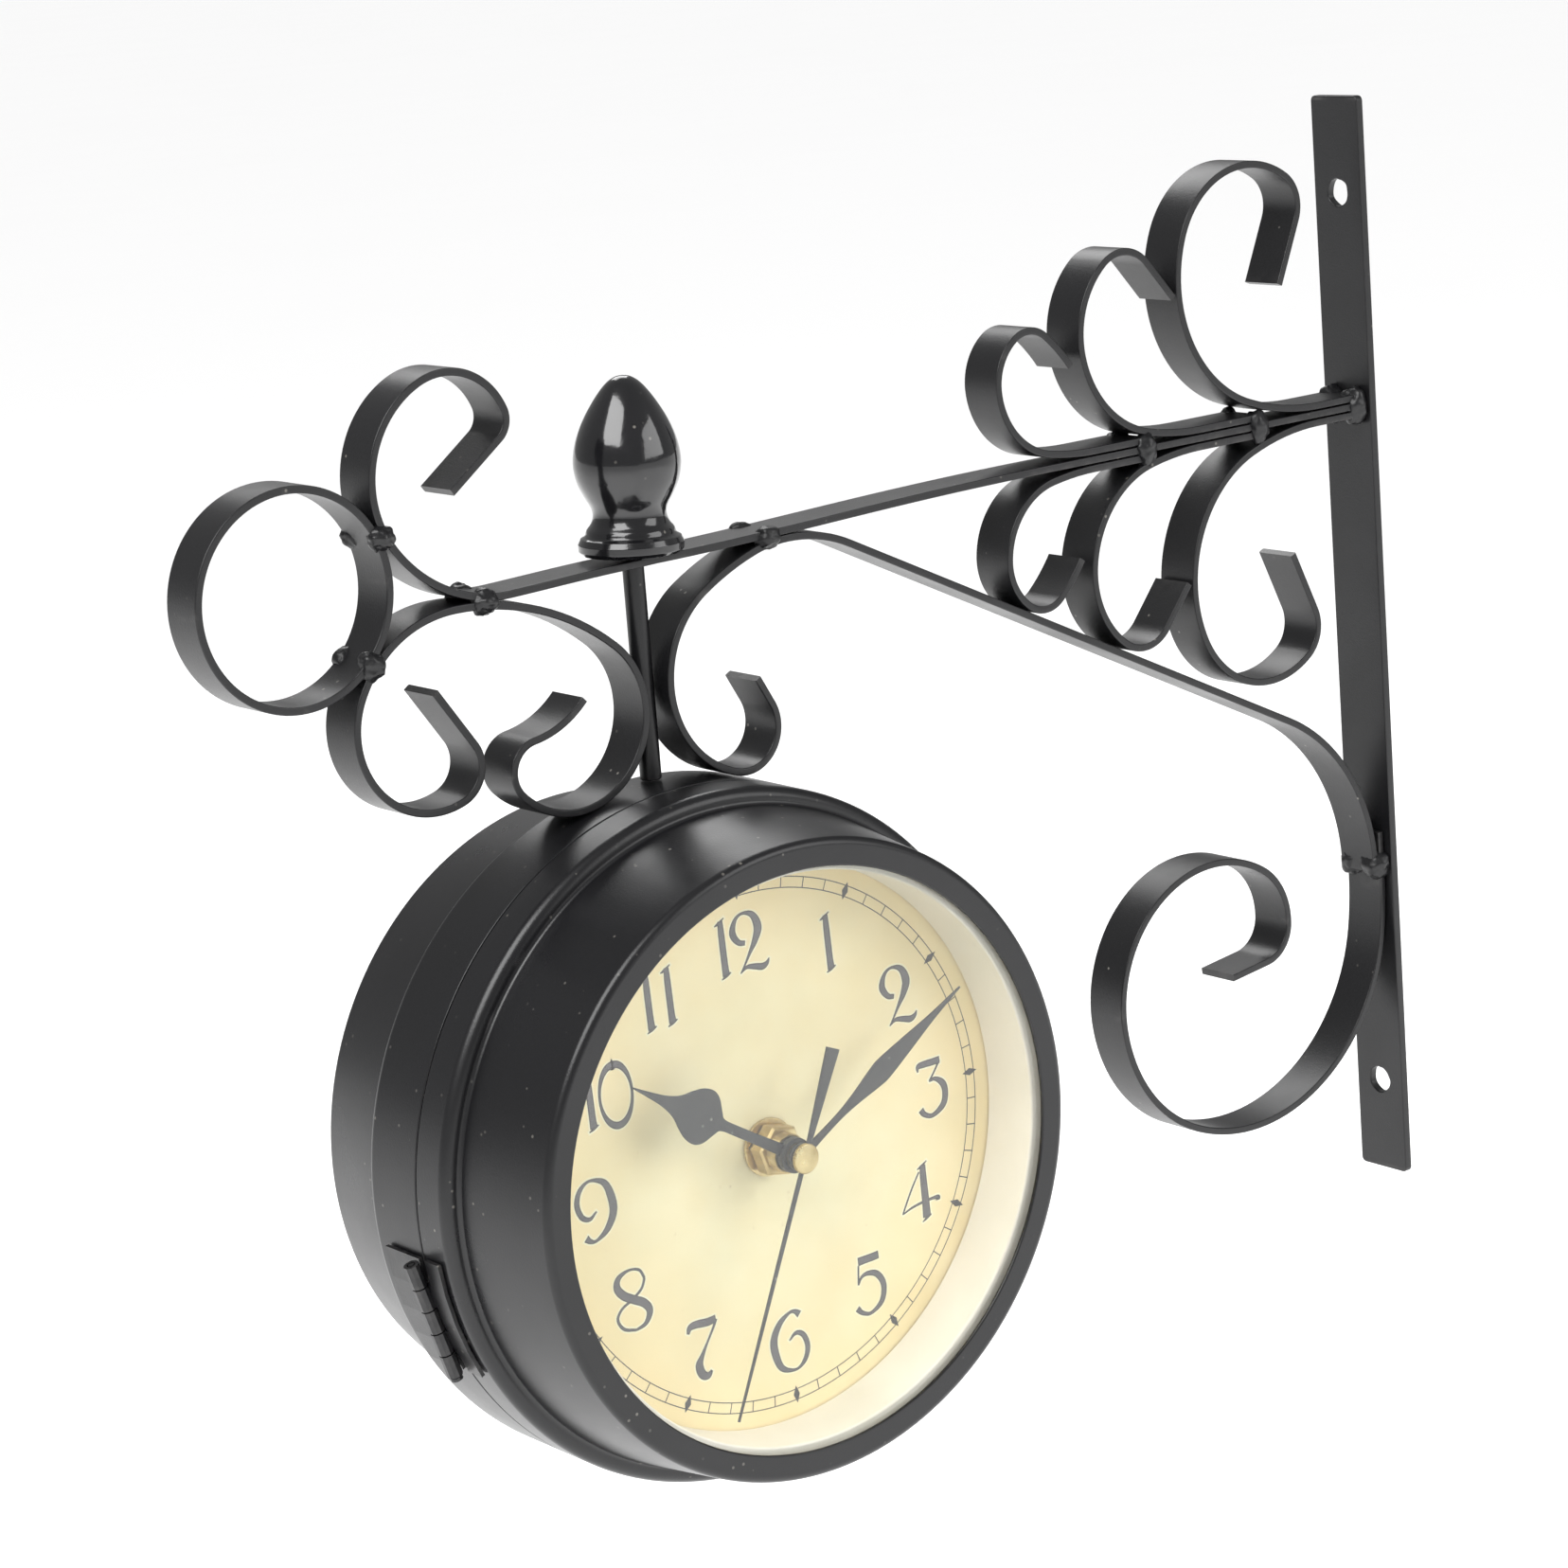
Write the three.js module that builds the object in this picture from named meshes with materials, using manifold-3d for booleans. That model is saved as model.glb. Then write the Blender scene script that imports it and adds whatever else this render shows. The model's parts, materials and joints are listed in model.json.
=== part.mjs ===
// Double sided station clock on a scrolled wall bracket.
// Millimetres, +Z up. The origin is the middle of the wall plate's back face: the wall is the plane
// x = 0, the bracket reaches out along -X, and the front dial faces -Y.
import * as THREE from "three";
import { mergeVertices } from "three/addons/utils/BufferGeometryUtils.js";
import Module from "manifold-3d";

const wasm = await Module();
wasm.setup();

// ---------------------------------------------------------------- driving dimensions
const reach = 202.5; // wall to the axis of the clock's head
const gap = 0.3; // clearance wherever one piece seats on another

// Bracket stock
const stripWidth = 10.5;
const stripThick = 1.6;
const plateHeight = 250;
const plateWidth = 14.4;
const plateThick = 2;
const plateCorner = 1.2;
const screwHoleRadius = 3;
const screwHoleInset = 21.5; // hole centre from each end of the plate
const armHeight = 56; // middle of the arm above the origin, at the wall
const armSag = 1.4; // the loaded end of the arm droops by this many degrees
const rodRadius = 2.2;
const rodDrop = 44.4; // bare rod between the arm and the case
const rodThread = 12; // length of rod inside the finial

// Clock head
const caseRadius = 71.3;
const bezelStep = 3.5; // the bezel is set in from the band by this much
const bezelTaper = 3.2; // and narrows by this much to its rim
const lipWidth = 5.6; // flat rim face, from its outside to the opening
const sheet = 0.9; // wall of the spun steel case
const headDepth = 77.3; // over both rims
const shoulderDepth = 27.5; // between the front and rear shoulders
const shoulderCorner = 2.3;
const rimCorner = 1.7;
const seamFromMiddle = 3.75; // the door's seam lies this far in front of the middle plane
const headForward = 6.75; // the head's middle plane lies this far in front of the bracket's
const glassThick = 1.5;
const revealInset = 1.1; // the white spacer's wall shows this much inside the opening
const revealThick = 1;
const dialDepth = 16.9; // from the rim's face back to the dial
const dialThick = 1;
const clipThick = 1.2;
const clipWidth = 2.2;
const clipOpening = 8; // degrees to each side of the snap ring's gap

// Quartz movement
const movementSize = 56;
const movementThick = 16.4;
const movementCorner = 5;
const bushRadius = 4;
const bushBore = 2.85;
const capToGlass = 1.1; // from the second hand's cap to the glass
const hourPipeRadius = 2.5;
const hourPipeBore = 1.8;
const minuteArborRadius = 1.45;
const minuteArborBore = 0.85;
const secondPinRadius = 0.5;
const nutAcrossFlats = 11;
const nutShare = 0.6; // of the threaded length that stands beyond the washer
const washerRadius = 7.2;
const washerThick = 0.7;
const batteryRadius = 7.1;
const batteryLength = 49;
const knobRadius = 4.2;

// Hands, and the time they show
const hourHandShort = 15.5; // each hand's tip stops this far inside the opening
const minuteHandShort = 9;
const secondHandShort = 5.5;
const handThick = 0.5;
const dialTilt = 3.5; // the dial was fitted a few degrees anticlockwise
const timeShown = { hours: 10, minutes: 10, seconds: 34.5 };

// Hinge of the door
const hingeAngle = 197; // round the case, from +X towards +Z
const hingeLength = 26;
const knuckleRadius = 1.6;
const hingePinRadius = 0.65;
const leafThick = 0.8;
const fixedLeafWidth = 12;
const doorLeafWidth = 6.6;
const knuckleCount = 5;

// ---------------------------------------------------------------- derived places
const half = 0.5;
const plateFace = -plateThick;
const headX = -reach;
const stripPitch = stripThick + gap; // middle to middle of two strips that lie together

const segmentsRound = 40; // facets round the case and the ring
const segmentsHidden = 32; // for a round edge that the case hides

// ---------------------------------------------------------------- solids
const finishes = {
  blackSteel: { color: 0x1b1b1d, roughness: 0.38, metalness: 0.3 },
  glossBlack: { color: 0x131418, roughness: 0.12, metalness: 0.2 },
  glass: { color: 0xf4f8f8, roughness: 0.03, metalness: 0, transparent: true, opacity: 0.2 },
  cream: { color: 0xf0e5bd, roughness: 0.7, metalness: 0 },
  offWhite: { color: 0xf1efe6, roughness: 0.6, metalness: 0 },
  brass: { color: 0xc9a45c, roughness: 0.3, metalness: 0.9 },
  darkPlastic: { color: 0x202224, roughness: 0.55, metalness: 0 },
  whitePlastic: { color: 0xe9e9e4, roughness: 0.5, metalness: 0 },
  handBlack: { color: 0x2a2c30, roughness: 0.5, metalness: 0.2 },
  zinc: { color: 0x9ea1a3, roughness: 0.35, metalness: 0.9 },
  batteryCan: { color: 0x8b1d1a, roughness: 0.35, metalness: 0.4 },
};

function toSolid(geometry) {
  const bare = geometry.clone();
  bare.deleteAttribute("normal");
  bare.deleteAttribute("uv");
  const merged = mergeVertices(bare, 1e-3);
  const index = merged.index.array;
  const kept = [];
  for (let i = 0; i < index.length; i += 3) {
    const [a, b, c] = [index[i], index[i + 1], index[i + 2]];
    if (a !== b && b !== c && c !== a) kept.push(a, b, c);
  }
  return new wasm.Manifold(
    new wasm.Mesh({
      numProp: 3,
      vertProperties: merged.attributes.position.array,
      triVerts: new Uint32Array(kept),
    }),
  );
}

function toGeometry(solid) {
  const made = solid.getMesh();
  const geometry = new THREE.BufferGeometry();
  geometry.setAttribute("position", new THREE.BufferAttribute(made.vertProperties, 3));
  geometry.setIndex(new THREE.BufferAttribute(made.triVerts, 1));
  geometry.computeVertexNormals();
  return geometry;
}

const joined = (first, ...others) => others.reduce((sum, next) => sum.add(next), first);
const cutBy = (first, ...others) => others.reduce((rest, next) => rest.subtract(next), first);

// A solid turned about the case's axis direction (Y). The profile holds [radius, y] pairs: it starts
// and ends on the axis, or it is closed back to its first point.
function revolve(profile, segments) {
  const points = profile.map(([r, y]) => new THREE.Vector2(r, y));
  if (points[0].x > 0) points.push(points[0].clone());
  const area = points.reduce((sum, a, i) => {
    const b = points[(i + 1) % points.length];
    return sum + a.x * b.y - b.x * a.y;
  }, 0);
  if (area < 0) points.reverse();
  return toSolid(new THREE.LatheGeometry(points, segments));
}

// A flat outline in the XZ plane, extruded in Y from `near` to `far`.
function extrudeXZ(outline, near, far) {
  const shape = Array.isArray(outline) ? new THREE.Shape(outline) : outline;
  const geometry = new THREE.ExtrudeGeometry(shape, {
    depth: far - near,
    bevelEnabled: false,
    curveSegments: 4,
  });
  geometry.rotateX(Math.PI / 2);
  geometry.translate(0, far, 0);
  return toSolid(geometry);
}

function box(low, high) {
  const size = high.map((value, i) => value - low[i]);
  const geometry = new THREE.BoxGeometry(...size);
  geometry.translate(...high.map((value, i) => (value + low[i]) * half));
  return toSolid(geometry);
}

// A cylinder along Y, X or Z between two stations of that axis.
function cylinder(axis, radius, [x, y, z], from, to, segments = 16) {
  const geometry = new THREE.CylinderGeometry(radius, radius, to - from, segments);
  if (axis === "z") geometry.rotateX(Math.PI / 2);
  if (axis === "x") geometry.rotateZ(-Math.PI / 2);
  const middle = (from + to) * half;
  if (axis === "y") geometry.translate(x, middle, z);
  if (axis === "z") geometry.translate(x, y, middle);
  if (axis === "x") geometry.translate(middle, y, z);
  return toSolid(geometry);
}

// ---------------------------------------------------------------- the group and its pieces
const clock = new THREE.Group();

function addPiece(name, solid, finish, parent = clock) {
  const material = new THREE.MeshStandardMaterial(finishes[finish]);
  const mesh = new THREE.Mesh(toGeometry(solid), material);
  mesh.name = name;
  parent.add(mesh);
  return mesh;
}

// ---------------------------------------------------------------- bent strip
// A strip's middle line is a list of stations {x, z, a}: a place in the bracket's plane and the
// heading there in radians. Bends are {run} for a straight, or {radius, turn} for an arc in degrees,
// where a positive turn is anticlockwise.
const stationTurn = THREE.MathUtils.degToRad(12.5);

function bendLine(x, z, headingDegrees, bends) {
  let a = THREE.MathUtils.degToRad(headingDegrees);
  const line = [{ x, z, a }];
  for (const bend of bends) {
    const turn = THREE.MathUtils.degToRad(bend.turn || 0);
    const length = bend.run || bend.radius * Math.abs(turn);
    const steps = Math.max(1, Math.ceil(Math.abs(turn) / stationTurn));
    for (let i = 0; i < steps; i += 1) {
      const chord = turn === 0 ? length : 2 * bend.radius * Math.sin(Math.abs(turn / steps) * half);
      const along = a + (turn / steps) * half;
      x += chord * Math.cos(along);
      z += chord * Math.sin(along);
      a += turn / steps;
      line.push({ x, z, a });
    }
  }
  return line;
}

const scaled = (bends, k) =>
  bends.map((bend) => ({
    run: bend.run && bend.run * k,
    radius: bend.radius && bend.radius * k,
    turn: bend.turn,
  }));
const mirrored = (bends) => bends.map((bend) => ({ ...bend, turn: bend.turn && -bend.turn }));
const moved = (line, dx, dz) => line.map(({ x, z, a }) => ({ x: x + dx, z: z + dz, a }));
const reversed = (line) => line.map(({ x, z, a }) => ({ x, z, a: a + Math.PI })).reverse();

// The strip itself: its middle line thickened to both sides, and extruded across its width.
function stripSolid(line, thick = stripThick, width = stripWidth) {
  const side = (sign) =>
    line.map(({ x, z, a }) => {
      const out = sign * thick * half;
      return new THREE.Vector2(x - out * Math.sin(a), z + out * Math.cos(a));
    });
  return extrudeXZ([...side(-1), ...side(1).reverse()], -width * half, width * half);
}

// The nearest two points of two middle lines.
function nearest(lineA, lineB) {
  let best = { distance: Infinity };
  const probe = (from, to, flip) => {
    for (const p of from) {
      for (let i = 1; i < to.length; i += 1) {
        const [u, v] = [to[i - 1], to[i]];
        const [dx, dz] = [v.x - u.x, v.z - u.z];
        const t = ((p.x - u.x) * dx + (p.z - u.z) * dz) / (dx * dx + dz * dz || 1);
        const k = THREE.MathUtils.clamp(t, 0, 1);
        const q = { x: u.x + k * dx, z: u.z + k * dz };
        const distance = Math.hypot(p.x - q.x, p.z - q.z);
        if (distance < best.distance) best = { distance, at: flip ? [q, p] : [p, q] };
      }
    }
  };
  probe(lineA, lineB, false);
  probe(lineB, lineA, true);
  return best;
}

const midpoint = ([p, q]) => ({ x: (p.x + q.x) * half, z: (p.z + q.z) * half });

// The value between low and high where a rising function passes zero.
function solve(rising, low, high) {
  for (let i = 0; i < 40; i += 1) {
    const middle = (low + high) * half;
    if (rising(middle) > 0) high = middle;
    else low = middle;
  }
  return (low + high) * half;
}

// A circle of the case or the ring, as a line.
function arcLine(x, z, radius, fromDegrees, toDegrees, steps) {
  const line = [];
  for (let i = 0; i <= steps; i += 1) {
    const t = THREE.MathUtils.degToRad(fromDegrees + ((toDegrees - fromDegrees) * i) / steps);
    line.push({ x: x + radius * Math.cos(t), z: z + radius * Math.sin(t), a: t + Math.PI / 2 });
  }
  return line;
}

const lowestX = (line) => Math.min(...line.map(({ x }) => x));
const highestX = (line) => Math.max(...line.map(({ x }) => x));

// Height of a line where it first passes a station in x.
function heightAt(line, x) {
  const next = line.findIndex((place, i) => i > 0 && (place.x - x) * (line[i - 1].x - x) <= 0);
  const [u, v] = [line[next - 1], line[next]];
  return u.z + ((v.z - u.z) * (x - u.x)) / (v.x - u.x);
}

// ---------------------------------------------------------------- bracket lines
const sagFrom = 97; // from the wall to where the arm begins to droop
const armPastAxis = 33; // straight of the arm beyond the head's axis
const sagBend = { radius: 1500, turn: armSag };
const armStraight = reach + armPastAxis - sagFrom - sagBend.radius * Math.sin(Math.PI / 180 * armSag);
const armBends = [
  { run: sagFrom + plateFace - gap },
  sagBend,
  { run: armStraight },
  { radius: 30, turn: -54 - armSag },
  { radius: 20.8, turn: -102 },
  { radius: 14.2, turn: -92 },
  { radius: 4.7, turn: -76 },
  { run: 14.8 },
];
const armLine = bendLine(plateFace - gap, armHeight, 180, armBends);
const armAtRod = heightAt(armLine, headX);
const armTop = armAtRod + stripThick * half;
const armUnder = armAtRod - stripThick * half;
const headZ = armUnder - rodDrop - caseRadius;

// The lower scrolls seat on the arc of the case under the bracket, and against the rod.
const caseTop = arcLine(headX, headZ, caseRadius, 30, 150, 40);
const seatOnCase = stripThick * half + gap;
const seatOnRod = rodRadius + stripThick * half + gap;

// Scrolls that stand on the arm near the wall, in mirrored pairs, bent away from the wall.
const scrollBends = {
  large: [
    { run: 14 },
    { radius: 60, turn: -20 },
    { radius: 29.5, turn: -93 },
    { radius: 20.8, turn: -102 },
    { radius: 8, turn: -79 },
    { run: 15 },
  ],
  medium: [
    { run: 17.5 },
    { radius: 70, turn: -12 },
    { radius: 23.5, turn: -65 },
    { radius: 19.8, turn: -65 },
    { radius: 9, turn: -88 },
    { run: 11 },
  ],
  small: [
    { run: 15 },
    { radius: 70, turn: -10 },
    { radius: 16.4, turn: -75 },
    { radius: 12, turn: -60 },
    { radius: 7, turn: -76 },
    { radius: 40, turn: -14 },
  ],
};

function pairLines(side) {
  const z = armHeight + side * stripPitch;
  const shape = (size) => {
    const bends = scrollBends[size];
    return bendLine(0, z, 180, side > 0 ? bends : mirrored(bends));
  };
  const large = moved(shape("large"), plateFace - gap, 0);
  const beside = (line, neighbour) => {
    const clear = (dx) => stripPitch - nearest(moved(line, dx, 0), neighbour).distance;
    return moved(line, solve(clear, -stripPitch - reach * half, 0), 0);
  };
  const medium = beside(shape("medium"), large);
  const small = beside(shape("small"), medium);
  return { large, medium, small };
}
const upper = pairLines(1);
const lower = pairLines(-1);

// The brace: an arch under the arm, a scroll towards the rod, and a bar down to the wall.
const braceScrollBends = [
  { radius: 32, turn: 17 },
  { radius: 62, turn: 14 },
  { radius: 22.2, turn: 132 },
  { radius: 9, turn: 136 },
  { run: 7 },
];
const archRadius = 35;
const braceEndRadius = 45;

// Places a scroll under the arm, against the rod and on the case: three contacts, for which it is
// moved along, moved up, and drawn a little larger or smaller.
function seatScroll(bends, heading, rodSide) {
  const place = (k) => {
    const line = bendLine(0, 0, heading, scaled(bends, k));
    const dx = rodSide > 0 ? headX + seatOnRod - lowestX(line) : headX - seatOnRod - highestX(line);
    const below = (dz) => stripPitch - nearest(moved(line, dx, dz), armLine).distance;
    return moved(line, dx, solve(below, armUnder - stripWidth, armUnder));
  };
  const sunk = (k) => seatOnCase - nearest(place(k), caseTop).distance;
  return place(solve(sunk, 0.7, 1.02));
}
const braceScroll = seatScroll(braceScrollBends, 180, 1);
const archTop = braceScroll[0];

function braceBar(slope) {
  const target = plateFace - gap - stripPitch - stripThick * half;
  const bends = (run) => [
    { radius: archRadius, turn: -slope },
    { run },
    { radius: braceEndRadius, turn: slope - 90 },
  ];
  const bare = bendLine(archTop.x, archTop.z, 0, bends(1));
  const short = target - highestX(bare);
  const run = 1 + short / Math.cos(THREE.MathUtils.degToRad(slope));
  return bendLine(archTop.x, archTop.z, 0, bends(run));
}
const touchesLower = (line) =>
  Math.min(...Object.values(lower).map((scroll) => nearest(line, scroll).distance));
const braceSlope = solve((slope) => touchesLower(braceBar(slope)) - stripPitch, 12, 45);
const braceRight = braceBar(braceSlope);
const braceLine = [...reversed(braceScroll), ...braceRight.slice(1)];
const braceEnd = braceRight[braceRight.length - 1];

// The double scroll between the arm's end and the case.
const doubleRightBends = [
  { radius: 56, turn: -41 },
  { radius: 18, turn: -186 },
  { radius: 6.3, turn: -126 },
  { radius: 22, turn: 37 },
];
const doubleLeftBends = [
  { radius: 28, turn: 17 },
  { radius: 24.3, turn: 47 },
  { radius: 17.1, turn: 135 },
  { radius: 7, turn: 105 },
  { run: 14.2 },
];
const doubleRight = seatScroll(doubleRightBends, 0, -1);
const doubleTop = doubleRight[0];
const doubleLeft = bendLine(doubleTop.x, doubleTop.z, 180, doubleLeftBends);
const doubleLine = [...reversed(doubleLeft), ...doubleRight.slice(1)];

// The closed ring at the tip, which nests against the arm's scroll and the double scroll.
const ringRadius = 20.9;
const ringAt = (x, z) => arcLine(x, z, ringRadius, -180, 180, 72);
function ringXAgainst(line, z) {
  const closer = (x) => stripPitch - nearest(ringAt(x, z), line).distance;
  return solve(closer, lowestX(line) - 3 * ringRadius, lowestX(line));
}
const ringZ = solve(
  (z) => ringXAgainst(doubleLine, z) - ringXAgainst(armLine, z),
  armUnder - ringRadius * half,
  armTop + ringRadius * half,
);
const ringX = Math.min(ringXAgainst(armLine, ringZ), ringXAgainst(doubleLine, ringZ));
const ringLine = ringAt(ringX, ringZ);

// The spiral on the wall plate under the brace. It starts behind the brace's end.
const spiralOverlap = 9;
const spiralBends = [
  { run: 12 },
  { radius: 70, turn: -10 },
  { radius: 43, turn: -106 },
  { radius: 34.3, turn: -58 },
  { radius: 28.6, turn: -129 },
  { radius: 15.5, turn: -60 },
  { radius: 8, turn: -80 },
  { run: 11 },
];
const spiralX = plateFace - gap - stripThick * half;
const spiralLine = bendLine(spiralX, braceEnd.z + spiralOverlap, -90, spiralBends);

// ---------------------------------------------------------------- weld beads
const beadRadius = 3;
const ringBeadRadius = 2.7;
const plateBeadRadius = { arm: 4.2, brace: 3.6 };
const beadProud = 1.9;

// The space that a strip and the gap round it take up.
function clearanceOf(line) {
  const ahead = ({ x, z, a }, by) => ({ x: x + by * Math.cos(a), z: z + by * Math.sin(a), a });
  const [first, last] = [line[0], line[line.length - 1]];
  const longer = [ahead(first, -gap), ...line, ahead(last, gap)];
  return stripSolid(longer, stripThick + 2 * gap, stripWidth + 2 * gap);
}

// A bead that its neighbour cuts in two keeps the part on the strip that carries it.
const largestOf = (solid) =>
  solid.decompose().reduce((most, next) => (next.volume() > most.volume() ? next : most));

// Two flat beads, on the front and back edges of the strips at `place`, clear of the neighbours.
function beads(place, radius, neighbours) {
  const pair = [-1, 1].map((side) => {
    const geometry = new THREE.SphereGeometry(radius, 8, 4);
    geometry.rotateX(Math.PI / 2);
    geometry.scale(1, beadProud / radius, 1);
    geometry.translate(place.x, side * stripWidth * half, place.z);
    return toSolid(geometry);
  });
  return pair.map((bead) => largestOf(cutBy(bead, ...neighbours.map(clearanceOf))));
}

const bracePast = 5; // the arm's weld to the brace lies this far past the top of the arch
const besideArch = archTop.x - bracePast;
const weldAt = {
  smallStems: { x: upper.small[0].x, z: armHeight },
  mediumStems: { x: upper.medium[0].x, z: armHeight },
  wallArm: { x: plateFace - gap, z: armHeight },
  armBrace: { x: besideArch, z: heightAt(armLine, besideArch) - stripPitch * half },
  armDouble: midpoint(nearest(doubleLine, armLine).at),
  ringArm: midpoint(nearest(ringLine, armLine).at),
  ringDouble: midpoint(nearest(ringLine, doubleLine).at),
  wallBrace: { x: plateFace - stripPitch, z: braceEnd.z + beadRadius * half },
};

// ---------------------------------------------------------------- bracket pieces
function wallPlate() {
  const [w, h, r] = [plateWidth * half, plateHeight * half, plateCorner];
  const shape = new THREE.Shape();
  shape.moveTo(-w + r, -h);
  shape.lineTo(w - r, -h);
  shape.absarc(w - r, -h + r, r, -Math.PI / 2, 0, false);
  shape.lineTo(w, h - r);
  shape.absarc(w - r, h - r, r, 0, Math.PI / 2, false);
  shape.lineTo(-w + r, h);
  shape.absarc(-w + r, h - r, r, Math.PI / 2, Math.PI, false);
  shape.lineTo(-w, -h + r);
  shape.absarc(-w + r, -h + r, r, Math.PI, Math.PI * 1.5, false);
  const geometry = new THREE.ExtrudeGeometry(shape, {
    depth: plateThick,
    bevelEnabled: false,
    curveSegments: 3,
  });
  geometry.rotateX(Math.PI / 2);
  geometry.rotateZ(Math.PI / 2);
  geometry.translate(plateFace, 0, 0);
  const holes = [-1, 1].map((end) => {
    const z = end * (h - screwHoleInset);
    return cylinder("x", screwHoleRadius, [0, 0, z], plateFace - 1, 1);
  });
  const steel = cutBy(toSolid(geometry), ...holes);
  const armStack = [armLine, upper.large, lower.large];
  const wallBeads = beads(weldAt.wallArm, plateBeadRadius.arm, armStack);
  const braceBeads = beads(weldAt.wallBrace, plateBeadRadius.brace, [braceLine, spiralLine]);
  const behind = box([-plateThick * half, -w, -h], [plateBeadRadius.arm, w, h]);
  const welds = [...wallBeads, ...braceBeads].map((bead) => cutBy(bead, behind));
  return joined(steel, ...welds);
}
addPiece("wall_plate", wallPlate(), "blackSteel");

const stems = (size) => [upper[size], lower[size]];

function armBar() {
  const bar = stripSolid(armLine);
  const rodHole = cylinder("z", rodRadius + gap, [headX, 0, 0], armUnder - 1, armTop + 1, 16);
  const welds = [
    ...beads(weldAt.smallStems, beadRadius, [...stems("small"), ...stems("medium")]),
    ...beads(weldAt.mediumStems, beadRadius, [...stems("medium"), ...stems("large")]),
    ...beads(weldAt.armBrace, beadRadius, [braceLine]),
    ...beads(weldAt.armDouble, beadRadius, [doubleLine]),
    ...beads(weldAt.ringArm, ringBeadRadius, [ringLine]),
  ];
  return cutBy(joined(bar, ...welds), rodHole);
}
addPiece("arm_bar", armBar(), "blackSteel");

function endRing() {
  const [inner, outer] = [ringRadius - stripThick * half, ringRadius + stripThick * half];
  const [near, far] = [-stripWidth * half, stripWidth * half];
  const profile = [
    [inner, near],
    [outer, near],
    [outer, far],
    [inner, far],
  ];
  const ring = revolve(profile, segmentsRound).translate([ringX, 0, ringZ]);
  return joined(ring, ...beads(weldAt.ringDouble, ringBeadRadius, [doubleLine]));
}
addPiece("end_ring", endRing(), "blackSteel");
addPiece("double_scroll", stripSolid(doubleLine), "blackSteel");
addPiece("brace_bar", stripSolid(braceLine), "blackSteel");
addPiece("wall_spiral", stripSolid(spiralLine), "blackSteel");
for (const size of ["large", "medium", "small"]) {
  addPiece("upper_scroll_" + size, stripSolid(upper[size]), "blackSteel");
  addPiece("lower_scroll_" + size, stripSolid(lower[size]), "blackSteel");
}

const finialFlange = 10.7;
const finialFoot = heightAt(armLine, headX + finialFlange) + stripThick * half + gap;
const rodFoot = headZ + caseRadius + gap;
const rodTop = finialFoot + rodThread;
const rod = cylinder("z", rodRadius, [headX, 0, 0], rodFoot, rodTop, 20);
addPiece("hanger_rod", rod, "blackSteel");

// Turned bud finial: [radius, height above the arm].
function finial() {
  const bud = [
    [0, 0],
    [9.8, 0],
    [finialFlange - 0.1, 0.8],
    [finialFlange, 2.2],
    [10.1, 3.3],
    [9.2, 3.9],
    [8.8, 5],
    [7.9, 6.2],
    [7.4, 7.8],
    [7.7, 9.4],
    [8.9, 11.6],
    [10.1, 14.2],
    [10.7, 17],
    [10.7, 19.6],
    [10.1, 22.6],
    [8.9, 25.8],
    [7.3, 28.8],
    [5.3, 31.8],
    [3.4, 34],
    [1.6, 35.2],
    [0, 35.5],
  ];
  const turned = revolve(bud, 20).rotate([90, 0, 0]).translate([headX, 0, finialFoot]);
  const blindHole = cylinder("z", rodRadius + gap, [headX, 0, 0], armTop - 1, rodTop + gap, 16);
  return cutBy(turned, blindHole);
}
addPiece("finial", finial(), "glossBlack");

// ---------------------------------------------------------------- clock head
const bezelRootRadius = caseRadius - bezelStep;
const bezelRimRadius = bezelRootRadius - bezelTaper;
const openingRadius = bezelRimRadius - lipWidth;
const revealRadius = openingRadius - revealInset;
// Each side is built facing -Y about the head's middle plane: `d` is a depth forward of that plane.
const rimFace = headDepth * half;
const shoulder = shoulderDepth * half;
const glassFront = rimFace - sheet - gap;
const glassBack = glassFront - glassThick;
const glassRadius = bezelRimRadius - sheet - rimCorner;
const dialFace = rimFace - dialDepth;
const dialBack = dialFace - dialThick;
const movementFront = dialBack - gap;
const movementBack = movementFront - movementThick;

function arcPoints(cx, cd, radius, fromDegrees, toDegrees, count) {
  const points = [];
  for (let i = 0; i <= count; i += 1) {
    const t = THREE.MathUtils.degToRad(fromDegrees + ((toDegrees - fromDegrees) * i) / count);
    points.push([cx + radius * Math.cos(t), cd + radius * Math.sin(t)]);
  }
  return points;
}

// The bezel's slope from the shoulder to the rim, set in by `inset`: [radius, depth] at each end.
const bezelFootFillet = 0.9;
const rimCornerAt = (inset) => rimCorner - inset * half;
const bezelSlope = (inset) => [
  [bezelRootRadius - inset, shoulder - inset + bezelFootFillet],
  [bezelRimRadius - inset, rimFace - inset - rimCornerAt(inset)],
];

// Outline of the spun case from its band to the lip round the glass, set in by `inset`.
function caseOutline(bandBack, inset, cornerSteps) {
  const shoulderCentre = [caseRadius - shoulderCorner, shoulder - shoulderCorner];
  const [foot, top] = bezelSlope(inset);
  const rim = rimCornerAt(inset);
  return [
    [caseRadius - inset, bandBack],
    ...arcPoints(...shoulderCentre, shoulderCorner - inset, 0, 90, cornerSteps),
    [foot[0] + bezelFootFillet, shoulder - inset],
    foot,
    ...arcPoints(top[0] - rim, top[1], rim, 0, 90, cornerSteps),
  ];
}

function caseShell(bandBack) {
  const outside = caseOutline(bandBack, 0, 2);
  const inside = caseOutline(bandBack, sheet, 1);
  const lip = [
    [openingRadius, rimFace],
    [openingRadius, rimFace - sheet],
  ];
  const profile = [...outside, ...lip, ...inside.reverse()].map(([r, d]) => [r, -d]);
  return revolve(profile, segmentsRound);
}

function innerRadiusAt(depth) {
  const [foot, top] = bezelSlope(sheet);
  return THREE.MathUtils.mapLinear(depth, foot[1], top[1], foot[0], top[0]);
}

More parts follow.
